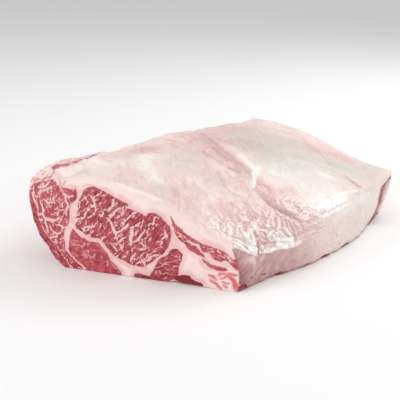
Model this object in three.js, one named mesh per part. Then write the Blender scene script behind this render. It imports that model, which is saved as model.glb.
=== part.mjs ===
// A raw beef rib roast, boned out and lying on its rib side: one solid block of meat.
// Millimetres, +Z up. The near cut face looks along -Y, the thin rib side is at +X and
// the thick chine side at -X. The origin is at the middle of the footprint, on the floor.
import * as THREE from "three";

// Cells along the width, the length and the height of the block.
const CELLS_ACROSS = 34;
const CELLS_ALONG = 42;
const CELLS_UP = 12;

// The long edges and the back, at four stations from the near cut to the far cut. The crown
// lifts the middle of the back, and the roll tips it over towards the rib side.
const CHINE_FOOT_X = [-80, -97, -93, -70];
const CHINE_TOP_X = [-98, -109, -101, -56];
const CHINE_TOP_Z = [90, 88, 88, 86];
const CHINE_BULGE = [25, 37, 32, 24];
const CHINE_BULGE_LIFT = [1.6, 1.3, 1.3, 1.3];
const CHINE_BULGE_ROUNDING = [0.4, 0.7, 0.8, 0.8];
const RIB_FOOT_X = [96, 126, 139, 131];
const RIB_TOP_X = [89, 123, 134, 135];
const RIB_TOP_Z = [43, 44, 46, 46];
const RIB_BULGE = [4, 6, 5, 1];
const BACK_CROWN = [17, 22, 19, -4];
const BACK_ROLL = [0, 0, 0, 5];

// The cuts across the two ends.
const NEAR_CUT_Y = -150;
const NEAR_CUT_SKEW = 0.2;
const NEAR_CUT_LEAN = 0.035;
const NEAR_CUT_SWELL = 3;
const FAR_CUT_Y = 191.5;
const FAR_CUT_MIDDLE_X = 30;
const FAR_CUT_CURVE = 0.0026;
const FAR_CUT_UNDERCUT = 12;
const RIB_TIP_UNDERCUT = 18;
const RIB_TIP_WIDTH = 70;

// The strip of flank meat left on the chine edge, and the groove beside it.
const STRIP_RISE = 12;
const STRIP_FLAT = 4;
const STRIP_WIDTH = 14;
const STRIP_FROM_Y = -180;
const STRIP_TO_Y = -45;
const GROOVE_DEPTH = 4;
const GROOVE_FROM_EDGE = 16;
const GROOVE_HALF_WIDTH = 7;

// The upper sheet of fat: its front edge runs across the back from the chine to the ribs.
const SHEET_FRONT_Y = [84, 41, 3, -18, -40, -60, -57];
const SHEET_FROM_X = -95;
const SHEET_TO_X = 125;
const SHEET_RISE = 4;
const SHEET_EDGE = 7;
const VALLEY_DEPTH = 3;
const VALLEY_WIDTH = 16;

// The channels that the rib bones left in the underside.
const RIB_CHANNEL_Y = [-105, -25, 55, 135];
const RIB_CHANNEL_HALF_WIDTH = 19;
const RIB_CHANNEL_DEPTH = 5;
const RIB_CHANNEL_FROM_X = -70;
const RIB_CHANNEL_TO_X = 112;
const RIB_CHANNEL_RUN_OUT = 24;

const mix = (a, b, t) => a + (b - a) * t;

// A hump of height 1 at zero that is level and 0 from -1 and +1 outwards.
const hump = (t) => Math.pow(Math.max(0, 1 - t * t), 2);

function ease(low, high, value) {
  const t = Math.min(Math.max((value - low) / (high - low), 0), 1);
  return t * t * (3 - 2 * t);
}

// Smooth value at t from 0 to 1 through evenly spaced stations.
function through(stations, t) {
  const last = stations.length - 1;
  const place = Math.min(Math.max(t, 0), 1) * last;
  const i = Math.min(Math.floor(place), last - 1);
  const f = place - i;
  const at = (k) => stations[Math.min(Math.max(k, 0), last)];
  const rise = at(i + 1) - at(i);
  const slopeIn = (at(i + 1) - at(i - 1)) / 2;
  const slopeOut = (at(i + 2) - at(i)) / 2;
  const square = 3 * rise - 2 * slopeIn - slopeOut;
  const cube = slopeIn + slopeOut - 2 * rise;
  return at(i) + f * (slopeIn + f * (square + f * cube));
}

// Chine side: it swells out above its foot and draws in again under its top edge.
function chineSide(v, w) {
  const lifted = Math.pow(w, through(CHINE_BULGE_LIFT, v));
  const arch = Math.max(0, Math.sin(Math.PI * lifted));
  const swell = through(CHINE_BULGE, v) * Math.pow(arch, through(CHINE_BULGE_ROUNDING, v));
  return {
    x: mix(through(CHINE_FOOT_X, v), through(CHINE_TOP_X, v), w) - swell,
    z: through(CHINE_TOP_Z, v) * w,
  };
}

// Rib side: low and nearly upright.
function ribSide(v, w) {
  const swell = through(RIB_BULGE, v) * Math.sin(Math.PI * w);
  return {
    x: mix(through(RIB_FOOT_X, v), through(RIB_TOP_X, v), w) + swell,
    z: through(RIB_TOP_Z, v) * w,
  };
}

// The section of the block at v along its length, u across it and w up it.
function section(u, v, w) {
  const chine = chineSide(v, w);
  const rib = ribSide(v, w);
  const crown = through(BACK_CROWN, v) * Math.sin(Math.PI * u);
  const roll = through(BACK_ROLL, v) * Math.sin(2 * Math.PI * u);
  return { x: mix(chine.x, rib.x, u), z: mix(chine.z, rib.z, u) + (crown + roll) * w * w };
}

function nearCut(x, z, u, w) {
  const swell = NEAR_CUT_SWELL * Math.sin(Math.PI * u) * Math.sin(Math.PI * w);
  return NEAR_CUT_Y + NEAR_CUT_SKEW * (x - RIB_FOOT_X[0]) + NEAR_CUT_LEAN * z - swell;
}

// The far cut is bowed, and its foot draws in, most of all under the tip at the rib side.
function farCut(x, z, w) {
  const tip = ease(RIB_TIP_WIDTH, 0, RIB_TOP_X[3] - x);
  const undercut = FAR_CUT_UNDERCUT + RIB_TIP_UNDERCUT * tip;
  const across = x - FAR_CUT_MIDDLE_X;
  return FAR_CUT_Y - FAR_CUT_CURVE * across * across - undercut * Math.pow(1 - w, 2.2);
}

function stripAndGroove(x, y, chineEdgeX) {
  const inward = x - chineEdgeX;
  const along = 1 - ease(STRIP_FROM_Y, STRIP_TO_Y, y);
  const strip = STRIP_RISE * (1 - ease(STRIP_FLAT, STRIP_WIDTH, inward));
  const groove = GROOVE_DEPTH * hump((inward - GROOVE_FROM_EDGE) / GROOVE_HALF_WIDTH);
  return along * (strip - groove);
}

function fatSheet(x, y) {
  const front = through(SHEET_FRONT_Y, (x - SHEET_FROM_X) / (SHEET_TO_X - SHEET_FROM_X));
  const behind = y - front;
  const valley = VALLEY_DEPTH * hump((behind + SHEET_EDGE) / VALLEY_WIDTH);
  return SHEET_RISE * ease(-SHEET_EDGE, SHEET_EDGE, behind) - SHEET_RISE / 2 - valley;
}

// Height that the back gains or loses, fading out towards both cuts and the rib edge.
function backRelief(x, y, u, v, chineEdgeX) {
  const inside = Math.sin(Math.PI * u) * Math.min(1, 8 * v) * Math.min(1, 8 * (1 - v));
  return stripAndGroove(x, y, chineEdgeX) + fatSheet(x, y) * inside;
}

function ribChannels(x, y) {
  const fromChine = ease(RIB_CHANNEL_FROM_X, RIB_CHANNEL_FROM_X + RIB_CHANNEL_RUN_OUT, x);
  const fromRibs = ease(RIB_CHANNEL_TO_X, RIB_CHANNEL_TO_X - RIB_CHANNEL_RUN_OUT, x);
  let depth = 0;
  for (const channelY of RIB_CHANNEL_Y) {
    depth += RIB_CHANNEL_DEPTH * hump((y - channelY) / RIB_CHANNEL_HALF_WIDTH);
  }
  return depth * Math.min(fromChine, fromRibs);
}

function roastPoint(u, v, w) {
  const { x, z } = section(u, v, w);
  const y = mix(nearCut(x, z, u, w), farCut(x, z, w), v);
  const top = backRelief(x, y, u, v, chineSide(v, w).x) * Math.pow(w, 6);
  const bottom = ribChannels(x, y) * Math.pow(1 - w, 6);
  return new THREE.Vector3(x, y, z + top + bottom);
}

function makeRoast() {
  const block = new THREE.BoxGeometry(1, 1, 1, CELLS_ACROSS, CELLS_ALONG, CELLS_UP);
  const points = block.getAttribute("position");
  for (let i = 0; i < points.count; i += 1) {
    const p = roastPoint(points.getX(i) + 0.5, points.getY(i) + 0.5, points.getZ(i) + 0.5);
    points.setXYZ(i, p.x, p.y, p.z);
  }
  block.computeBoundingBox();
  const middle = block.boundingBox.getCenter(new THREE.Vector3());
  block.translate(-middle.x, -middle.y, 0);
  block.computeVertexNormals();
  const meat = new THREE.MeshStandardMaterial({ color: 0xe6c4c4, roughness: 0.4, metalness: 0 });
  const roast = new THREE.Mesh(block, meat);
  roast.name = "roast";
  return roast;
}

const group = new THREE.Group();
group.add(makeRoast());

export default group;
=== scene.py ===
import math
import random

import bmesh
import bpy
import numpy as np
from mathutils import Matrix, Vector, kdtree, noise


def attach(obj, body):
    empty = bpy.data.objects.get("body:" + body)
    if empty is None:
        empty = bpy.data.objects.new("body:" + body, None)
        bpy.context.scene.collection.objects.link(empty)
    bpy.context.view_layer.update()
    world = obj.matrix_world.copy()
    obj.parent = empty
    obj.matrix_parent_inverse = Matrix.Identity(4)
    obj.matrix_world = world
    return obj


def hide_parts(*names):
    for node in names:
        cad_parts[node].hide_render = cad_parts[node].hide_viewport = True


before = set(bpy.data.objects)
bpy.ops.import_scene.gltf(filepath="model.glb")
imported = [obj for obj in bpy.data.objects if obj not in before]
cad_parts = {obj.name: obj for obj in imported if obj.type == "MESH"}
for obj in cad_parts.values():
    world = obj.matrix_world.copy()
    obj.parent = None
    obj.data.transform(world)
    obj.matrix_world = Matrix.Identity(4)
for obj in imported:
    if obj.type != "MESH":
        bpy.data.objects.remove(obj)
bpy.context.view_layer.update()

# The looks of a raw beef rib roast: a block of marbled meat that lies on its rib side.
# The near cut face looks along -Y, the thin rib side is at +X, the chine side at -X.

MM = 0.001

# Without a seed of its own, the waver of every outline would differ from run to run.
WAVER_SEED = 5
noise.seed_set(WAVER_SEED)

# Zones of the block, kept as a number on each face.
ZONE_COUNT = 6
BACK, NEAR_CUT, FAR_CUT, UNDERSIDE, CHINE_SIDE, RIB_SIDE = range(ZONE_COUNT)

# The near cut is a flat slice. "across" runs along it from the chine edge to the rib
# edge, "up" from the floor, both in millimetres.
CUT_CORNER = (95.3, -149.4)
CUT_SKEW = 0.2
CUT_WIDTH = 217.0


# ---------------------------------------------------------------- the muscles on a cut face

# Outlines of the muscles, as across and up.
EYE = [(69, 87), (76, 86), (89, 81), (102, 76), (109, 73), (106, 70), (116, 68), (126, 64),
       (129, 67), (137, 67), (149, 58), (152, 52), (151, 40), (148, 33), (143, 27), (130, 17),
       (124, 13), (111, 13), (103, 17), (95, 20), (88, 25), (84, 31), (78, 36), (67, 36), (60, 40),
       (53, 45), (55, 62), (57, 74), (63, 84)]
SPINE_MUSCLE = [(48, 41), (51, 41), (56, 36), (63, 34), (66, 32), (76, 32), (82, 27), (91, 13),
                (96, 8), (100, 0), (88, -3), (66, -2), (60, 3), (52, 9), (46, 15), (44, 20),
                (45, 28), (46, 35)]
SIDE_LOBE = [(35, 82), (45, 82), (53, 82), (53, 73), (48, 68), (46, 64), (46, 51), (43, 45),
             (40, 42), (39, 33), (40, 26), (40, 19), (43, 17), (47, 12), (52, 7), (58, 1), (50, -2),
             (42, 5), (36, 13), (30, 22), (25, 27), (18, 34), (14, 42), (11, 52), (10, 62), (8, 72),
             (3, 78), (6, 82), (13, 85), (24, 86)]
LOBE_RIND = [(-6, 76), (6, 75), (9, 62), (10, 52), (13, 42), (17, 34), (24, 27), (29, 22),
             (35, 13), (41, 5), (44, -4), (30, -6), (16, 6), (4, 26), (-4, 46), (-7, 60)]
RIB_MUSCLE = [(130, 2), (135, 11), (138, 18), (142, 24), (149, 28), (152, 33), (157, 36), (161, 34),
              (164, 30), (163, 23), (160, 16), (160, 11), (157, 4), (146, 0), (136, -1)]

# The bands of flank lean between the fat cap and the ribs.
UPPER_BAND = [(150, 66), (155, 61), (161, 56), (169, 50), (177, 46), (182, 44), (178, 43), (171, 45),
              (165, 49), (159, 52), (154, 56)]
MIDDLE_BAND = [(155, 54), (159, 52), (164, 49), (168, 45), (173, 42), (171, 39), (165, 42),
               (160, 45), (156, 50)]
LOWER_BAND = [(167, 43), (171, 42), (177, 41), (180, 37), (184, 34), (187, 30), (184, 31),
              (177, 33), (172, 36), (168, 39)]
CORNER_BAND = [(180, 44), (185, 44), (192, 42), (200, 40), (206, 37), (212, 33), (217, 32),
               (221, 29), (220, 22), (216, 22), (212, 25), (206, 30), (201, 28), (194, 30),
               (191, 35), (185, 35), (182, 38)]
UNDER_BAND = [(184, 29), (189, 26), (194, 24), (200, 24), (206, 23), (208, 21), (201, 19),
              (195, 20), (189, 22), (185, 26)]
BOTTOM_SCRAP = [(154, 5), (160, 8), (166, 10), (171, 10), (174, 6), (182, 4), (184, 1), (171, 0),
                (160, 0)]
FOOT_SCRAP = [(115, 4), (121, 5), (130, 3), (131, -1), (122, -2), (114, 0)]

# Streaks of lean in the fat, each with its half width in millimetres.
CORNER_STREAKS = [
    (1.5, [(190, 13), (195, 12), (197, 10)]),
    (1.5, [(192, 8), (197, 5), (202, 1)]),
    (1.2, [(200, 14), (201, 17), (205, 18), (206, 14), (201, 12)]),
    (2.3, [(207, 16), (212, 13), (216, 8), (218, 2)]),
    (1.0, [(203, 9), (207, 7), (210, 7)]),
    (1.7, [(208, 18), (213, 16), (217, 17)]),
    (1.0, [(204, 5), (208, 3)]),
    (3.0, [(214, 9), (217, 2)]),
]
LOBE_STREAKS = [
    (1.0, [(20, 100), (25, 101), (29, 97), (31, 94)]),
    (0.8, [(30, 95), (27, 89)]),
    (0.9, [(14, 86), (20, 89), (27, 88)]),
    (0.7, [(6, 83), (8, 86), (13, 89)]),
    (0.7, [(12, 97), (17, 96)]),
    (0.7, [(9, 94), (13, 93)]),
    (1.0, [(2, 84), (7, 89), (12, 88)]),
    (0.8, [(33, 89), (37, 82)]),
    (0.6, [(42, 90), (39, 83)]),
    (0.6, [(16, 92), (20, 95)]),
    (0.7, [(19, 88), (23, 92)]),
    (0.7, [(24, 86), (28, 85)]),
    (0.6, [(1, 92), (4, 95)]),
]

# Each muscle: outline, how much marbling it has, how pale its meat is, and its grain's angle.
MUSCLES = [
    (EYE, 0.5, 0.0, 52),
    (SPINE_MUSCLE, 0.16, 0.3, 20),
    (SIDE_LOBE, 0.42, 0.15, 75),
    (LOBE_RIND, 0.1, -0.1, 110),
    (RIB_MUSCLE, 0.2, -0.15, 10),
    (UPPER_BAND, 0.3, 0.45, -30),
    (MIDDLE_BAND, 0.5, 0.3, -30),
    (LOWER_BAND, 0.45, 0.35, -30),
    (CORNER_BAND, 0.52, 0.35, -24),
    (UNDER_BAND, 0.4, 0.35, -20),
    (BOTTOM_SCRAP, 0.05, -0.9, -10),
    (FOOT_SCRAP, 0.05, -0.4, -5),
]

# The same for each set of streaks.
LEAN_STREAKS = [
    (CORNER_STREAKS, 0.75, 0.8, -40),
    (LOBE_STREAKS, 0.5, 0.5, 40),
]

# The thick veins of fat, each with its half width in millimetres.
EYE_VEINS = [
    (0.8, [(62, 78), (64, 75), (66, 71)]),
    (0.9, [(67, 79), (71, 75), (73, 69), (74, 63)]),
    (0.6, [(71, 75), (77, 74)]),
    (0.9, [(70, 67), (64, 61), (62, 57), (57, 51)]),
    (1.0, [(94, 76), (91, 71), (88, 64)]),
    (0.8, [(84, 63), (80, 57)]),
    (0.9, [(77, 54), (71, 47), (65, 43), (60, 41)]),
    (0.6, [(66, 55), (74, 59)]),
    (0.9, [(104, 71), (96, 67), (92, 61), (88, 57)]),
    (1.5, [(88, 57), (91, 52), (95, 46), (96, 39)]),
    (1.2, [(95, 41), (100, 46), (106, 51), (110, 55)]),
    (0.9, [(117, 67), (111, 63), (107, 59), (102, 54)]),
    (0.9, [(107, 42), (101, 37), (97, 33)]),
    (1.5, [(112, 51), (113, 44), (112, 39), (111, 34)]),
    (1.1, [(126, 51), (122, 44), (119, 40), (115, 37)]),
    (0.8, [(128, 34), (122, 30)]),
    (0.9, [(100, 33), (103, 27)]),
    (0.8, [(92, 30), (97, 26)]),
    (0.9, [(143, 28), (135, 26), (129, 20), (123, 19), (116, 14)]),
    (1.1, [(121, 22), (124, 18), (125, 14)]),
    (0.8, [(116, 25), (111, 19)]),
    (0.8, [(145, 53), (147, 49), (144, 43)]),
    (0.8, [(99, 23), (93, 18)]),
    (0.7, [(120, 38), (124, 37), (127, 33)]),
]
SPINE_VEINS = [
    (0.7, [(47, 29), (50, 26), (56, 26), (60, 25), (63, 28), (58, 31), (52, 31), (47, 30)]),
    (0.6, [(58, 15), (65, 17), (68, 15), (73, 18)]),
    (0.4, [(82, 25), (79, 20), (80, 15)]),
    (0.4, [(66, 14), (70, 7)]),
    (0.6, [(88, 18), (90, 11), (98, 3)]),
    (0.4, [(56, 19), (63, 21), (70, 23)]),
    (0.6, [(41, 18), (45, 14), (52, 8), (60, 1)]),
]
RIB_VEINS = [
    (0.6, [(136, 13), (143, 16), (149, 21), (160, 23)]),
    (0.5, [(144, 16), (148, 13), (155, 15)]),
    (0.5, [(153, 30), (157, 27), (161, 29)]),
    (0.5, [(140, 21), (146, 18), (152, 18)]),
    (0.5, [(138, 8), (146, 9), (154, 8)]),
    (0.4, [(146, 22), (150, 27)]),
]
LOBE_VEINS = [
    (1.1, [(5, 78), (6, 69), (9, 60)]),
    (0.9, [(13, 69), (15, 61), (16, 50), (20, 49), (29, 50), (38, 53)]),
    (0.8, [(17, 48), (19, 41), (21, 34)]),
    (0.9, [(23, 43), (25, 37), (31, 34), (38, 38)]),
    (0.8, [(32, 44), (39, 43)]),
    (0.6, [(23, 29), (30, 31), (35, 36)]),
    (1.0, [(36, 81), (40, 76), (44, 73), (50, 76)]),
    (0.8, [(41, 74), (43, 68), (43, 54)]),
    (1.2, [(11, 80), (18, 81), (25, 85)]),
    (0.9, [(13, 76), (20, 78), (27, 80)]),
    (0.8, [(18, 68), (24, 66), (31, 66)]),
    (1.0, [(27, 73), (29, 65)]),
    (0.6, [(31, 60), (37, 59), (42, 62)]),
    (0.6, [(16, 68), (16, 60), (17, 51), (19, 39), (20, 33)]),
    (0.8, [(17, 47), (26, 48), (35, 50)]),
    (0.8, [(23, 29), (30, 32), (36, 37)]),
    (0.8, [(34, 43), (41, 42)]),
]
MAIN_VEINS = EYE_VEINS + SPINE_VEINS + RIB_VEINS + LOBE_VEINS

# Thin veins strewn over a muscle: outline, how many, length, angle and its spread in degrees.
STREWN_VEINS = [
    (EYE, 115, (4, 12), 52, 26),
    (SPINE_MUSCLE, 12, (3, 8), 40, 70),
    (SIDE_LOBE, 90, (2, 6), 70, 90),
    (RIB_MUSCLE, 9, (3, 7), 20, 40),
    (LOBE_RIND, 16, (3, 8), 110, 30),
    (CORNER_BAND, 14, (3, 8), -24, 30),
    (MIDDLE_BAND, 4, (3, 7), -24, 30),
]

# The lobe grows fatter and paler upwards, on its own side of a line that slants over the cut.
LOBE_FAT_FROM_UP = 42
LOBE_FAT_TO_UP = 90
LOBE_LINE_ACROSS = 52
LOBE_LINE_UP = 90
LOBE_LINE_SLANT = 0.2
LOBE_MARBLING = 0.5
LOBE_PALENESS = 0.2

# Points of a smooth outline for each of its corners.
OUTLINE_STEPS = 5

# A strewn vein starts this far inside its muscle, and its bow is a share of its length.
VEIN_INSET = 0.5
VEIN_BOW = 0.18
VEIN_HALF_WIDTH = (0.2, 0.65)

# A stroke's width at its tips as a share of its full width, where its taper starts, and how
# far off it is still felt.
STROKE_TIP = 0.35
TAPER_START = 0.12
STROKE_REACH = 6.0

# How far outlines, streaks and veins waver, and the size of the waves, in millimetres.
OUTLINE_WAVER = (0.9, 9.0)
STREAK_WAVER = (0.8, 3.5)
VEIN_WAVER = (1.1, 5.0)
STREWN_WAVER = (1.6, 3.0)

# Stand-ins for a distance that isn't known yet, and for zero where something is divided.
FAR_AWAY = 1e9
TINY = 1e-9


def ramp(value, low, high):
    """0 at low, 1 at high and straight between them; low may be the larger of the two."""
    return np.clip((value - low) / (high - low), 0, 1)


def soft_step(value, width):
    """0 before zero and 1 after it, with a change as wide as the width."""
    return np.clip(value / width + 0.5, 0, 1)


def bell(value, width):
    """1 at zero, and about a third at one width from it."""
    return np.exp(-(value / width) ** 2)


def rounded_outline(corners):
    """Closed smooth curve through the corners."""
    corners = np.array(corners, float)
    before, after = np.roll(corners, 1, 0), np.roll(corners, -1, 0)
    beyond = np.roll(corners, -2, 0)
    square = 2 * before - 5 * corners + 4 * after - beyond
    cube = 3 * corners - before - 3 * after + beyond
    pieces = []
    for k in range(OUTLINE_STEPS):
        t = k / OUTLINE_STEPS
        pieces.append(0.5 * (2 * corners + (after - before) * t + square * t * t + cube * t ** 3))
    return np.stack(pieces, 1).reshape(-1, 2)


def distance_to_line(points, start, end):
    """Distance from the line, and the place along it from 0 to 1."""
    along = end - start
    t = np.clip((points - start) @ along / max(along @ along, TINY), 0, 1)
    return np.linalg.norm(points - start - t[:, None] * along, axis=1), t


def depth_inside(points, outline):
    """Distance in from the outline, negative outside it."""
    nearest = np.full(len(points), FAR_AWAY)
    inside = np.zeros(len(points), bool)
    for start, end in zip(outline, np.roll(outline, -1, 0)):
        nearest = np.minimum(nearest, distance_to_line(points, start, end)[0])
        crosses = (start[1] > points[:, 1]) != (end[1] > points[:, 1])
        rise = end[1] - start[1] if end[1] != start[1] else TINY
        where = start[0] + (points[:, 1] - start[1]) * (end[0] - start[0]) / rise
        inside ^= crosses & (points[:, 0] < where)
    return np.where(inside, nearest, -nearest)


def strewn_veins(seed):
    """Short curved veins, laid along the grain of each muscle."""
    pick = random.Random(seed)
    veins = []
    for corners, count, (shortest, longest), angle, spread in STREWN_VEINS:
        outline = rounded_outline(corners)
        low, high = outline.min(0), outline.max(0)
        made = 0
        while made < count:
            spot = np.array([pick.uniform(low[0], high[0]), pick.uniform(low[1], high[1])])
            if depth_inside(spot[None], outline)[0] < VEIN_INSET:
                continue
            turn = math.radians(angle + pick.gauss(0, spread * 0.5))
            length = pick.uniform(shortest, longest)
            heading = np.array([math.cos(turn), math.sin(turn)])
            aside = np.array([-heading[1], heading[0]])
            bow = pick.uniform(-VEIN_BOW, VEIN_BOW) * length
            points = [spot - heading * length / 2, spot + aside * bow, spot + heading * length / 2]
            veins.append((pick.uniform(*VEIN_HALF_WIDTH), points))
            made += 1
    return veins


def taper(place):
    """A stroke's share of its full width, at a place from 0 to 1 along it."""
    turn = np.clip(TAPER_START + (1 - 2 * TAPER_START) * place, 0, 1)
    return STROKE_TIP + (1 - STROKE_TIP) * np.sin(np.pi * turn)


def depth_in_strokes(points, strokes):
    """How deep each point lies in the nearest tapered stroke, negative outside them all."""
    depth = np.full(len(points), -STROKE_REACH)
    for half_width, spots in strokes:
        spots = np.array(spots, float)
        low, high = spots.min(0) - STROKE_REACH, spots.max(0) + STROKE_REACH
        near = np.flatnonzero(((points > low) & (points < high)).all(1))
        if not len(near):
            continue
        links = len(spots) - 1
        for i in range(links):
            gap, t = distance_to_line(points[near], spots[i], spots[i + 1])
            width = half_width * taper((i + t) / links)
            depth[near] = np.maximum(depth[near], width - gap)
    return depth


def wavered(places, reach, size, seed):
    """The places pushed about sideways by up to the reach, in waves of the size given."""
    moved = [noise.noise_vector(Vector((a / size, b / size, seed))) for a, b in places]
    return places + reach * np.array(moved).reshape(-1, 3)[:, :2]


def read_cut(places, seed):
    """What a cut face shows at each place: lean depth, vein depth, marbling, paleness, grain."""
    places = wavered(places, *OUTLINE_WAVER, seed)
    frayed = wavered(places, *STREAK_WAVER, seed + 1)
    depths = [(depth_inside(places, rounded_outline(outline)), *kind) for outline, *kind in MUSCLES]
    depths += [(depth_in_strokes(frayed, strokes), *kind) for strokes, *kind in LEAN_STREAKS]
    lean = np.full(len(places), -FAR_AWAY)
    marbling, pale, grain = (np.zeros(len(places)) for _ in range(3))
    for depth, richness, paleness, angle in depths:
        nearer = depth > lean
        lean[nearer] = depth[nearer]
        marbling[nearer] = richness
        pale[nearer] = paleness
        grain[nearer] = math.radians(angle)
    across, up = places.T
    in_lobe = across < LOBE_LINE_ACROSS - LOBE_LINE_SLANT * (LOBE_LINE_UP - up)
    fatty = in_lobe * ramp(up, LOBE_FAT_FROM_UP, LOBE_FAT_TO_UP)
    marbling += LOBE_MARBLING * fatty
    pale += LOBE_PALENESS * fatty
    vein = depth_in_strokes(wavered(frayed, *VEIN_WAVER, seed + 2), MAIN_VEINS)
    strewn = depth_in_strokes(wavered(frayed, *STREWN_WAVER, seed + 3), strewn_veins(seed))
    return lean, np.maximum(vein, strewn), marbling, pale, grain


# ---------------------------------------------------------------- features of the skin

# All as x, y in millimetres, seen from above. The upper sheet of fat ends in this edge, which
# runs from the chine side down to the ribs.
SHEET_EDGE = [(-112, 92), (-65, 55), (-38, 23), (-19, 4), (-2, -8), (12, -16), (30, -25), (45, -31),
              (53, -39), (57, -50), (64, -54), (72, -57), (83, -60), (94, -60), (104, -58),
              (113, -58), (120, -57), (130, -48)]

# The deepest line of the crease lies this far before the edge.
SHEET_EDGE_SHIFT = 0.4

# Along the edge: how high its lip stands, and how deep and wide the crease before it is.
LIP_RISE = [0.3, 1.0, 1.6, 1.8, 1.8, 1.8, 2.6, 4.0, 4.4, 3.2, 1.6, 1.1, 1.2, 1.4, 1.3, 1.2, 0.9, 0.4]
CREASE_DEPTH = [0.3, 1.6, 2.8, 3.0, 2.0, 1.2, 1.0, 1.0, 1.0, 0.8, 0.9, 1.5, 2.2, 2.4, 2.2, 2.0, 1.2,
                0.4]
CREASE_HALF_WIDTH = [5, 6, 6, 5, 4, 2.6, 2.2, 2, 2, 2, 2.2, 2.4, 2.8, 2.8, 2.6, 2.4, 2.4, 2.4]

# Depth, half width and course of the lesser creases, then the same for ridges.
CREASES = [
    (1.8, 2.4, [(-22, -17), (-7, -25), (5, -28), (18, -35), (35, -37)]),
    (0.4, 2.0, [(22, -58), (31, -68), (41, -77)]),
    (1.2, 2.6, [(-95, 14), (-69, 2), (-58, -6)]),
    (1.1, 2.4, [(-69, -9), (-47, -29)]),
    (0.8, 2.6, [(-96, -28), (-82, -44), (-68, -60)]),
    (0.8, 2.2, [(109, 79), (120, 76), (128, 73)]),
    (0.6, 2.2, [(24, 149), (49, 119), (65, 106), (85, 89)]),
    (0.6, 2.0, [(-44, 80), (-8, 33), (16, 11)]),
    (0.8, 4.0, [(8, -122), (20, -134)]),
    (0.8, 2.2, [(108, 76), (125, 75), (136, 77)]),
]
RIDGES = [
    (1.5, 6.0, [(-59, -74), (-38, -99), (-14, -120)]),
    (1.1, 4.5, [(-27, -160), (-15, -161), (-2, -160), (13, -157)]),
    (0.9, 4.0, [(-43, 45), (-18, 19), (1, 5), (17, -6), (30, -13), (39, -19)]),
    (0.8, 3.0, [(115, -57), (124, -27), (127, 18), (133, 77)]),
    (0.7, 2.0, [(117, -17), (120, 8), (124, 40), (129, 60)]),
    (1.4, 3.5, [(26, -56), (38, -69), (48, -80)]),
    (1.2, 5.0, [(-100, 2), (-74, -9)]),
    (1.2, 6.0, [(-30, -66), (-6, -84), (12, -104)]),
    (1.0, 4.0, [(118, 42), (112, 66), (108, 88)]),
    (0.9, 5.0, [(-108, -60), (-86, -72)]),
    (1.0, 2.0, [(133, -13), (133, 4), (135, 29), (136, 55), (137, 82)]),
    (0.8, 5.0, [(96, 134), (113, 121), (128, 106)]),
    (1.2, 9.0, [(-106, 20), (-98, 38)]),
    (1.3, 8.0, [(-74, 84), (-62, 100)]),
    (1.0, 6.0, [(-67, 114), (-62, 128)]),
    (1.8, 12.0, [(-52, 168), (-28, 182)]),
]

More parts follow.
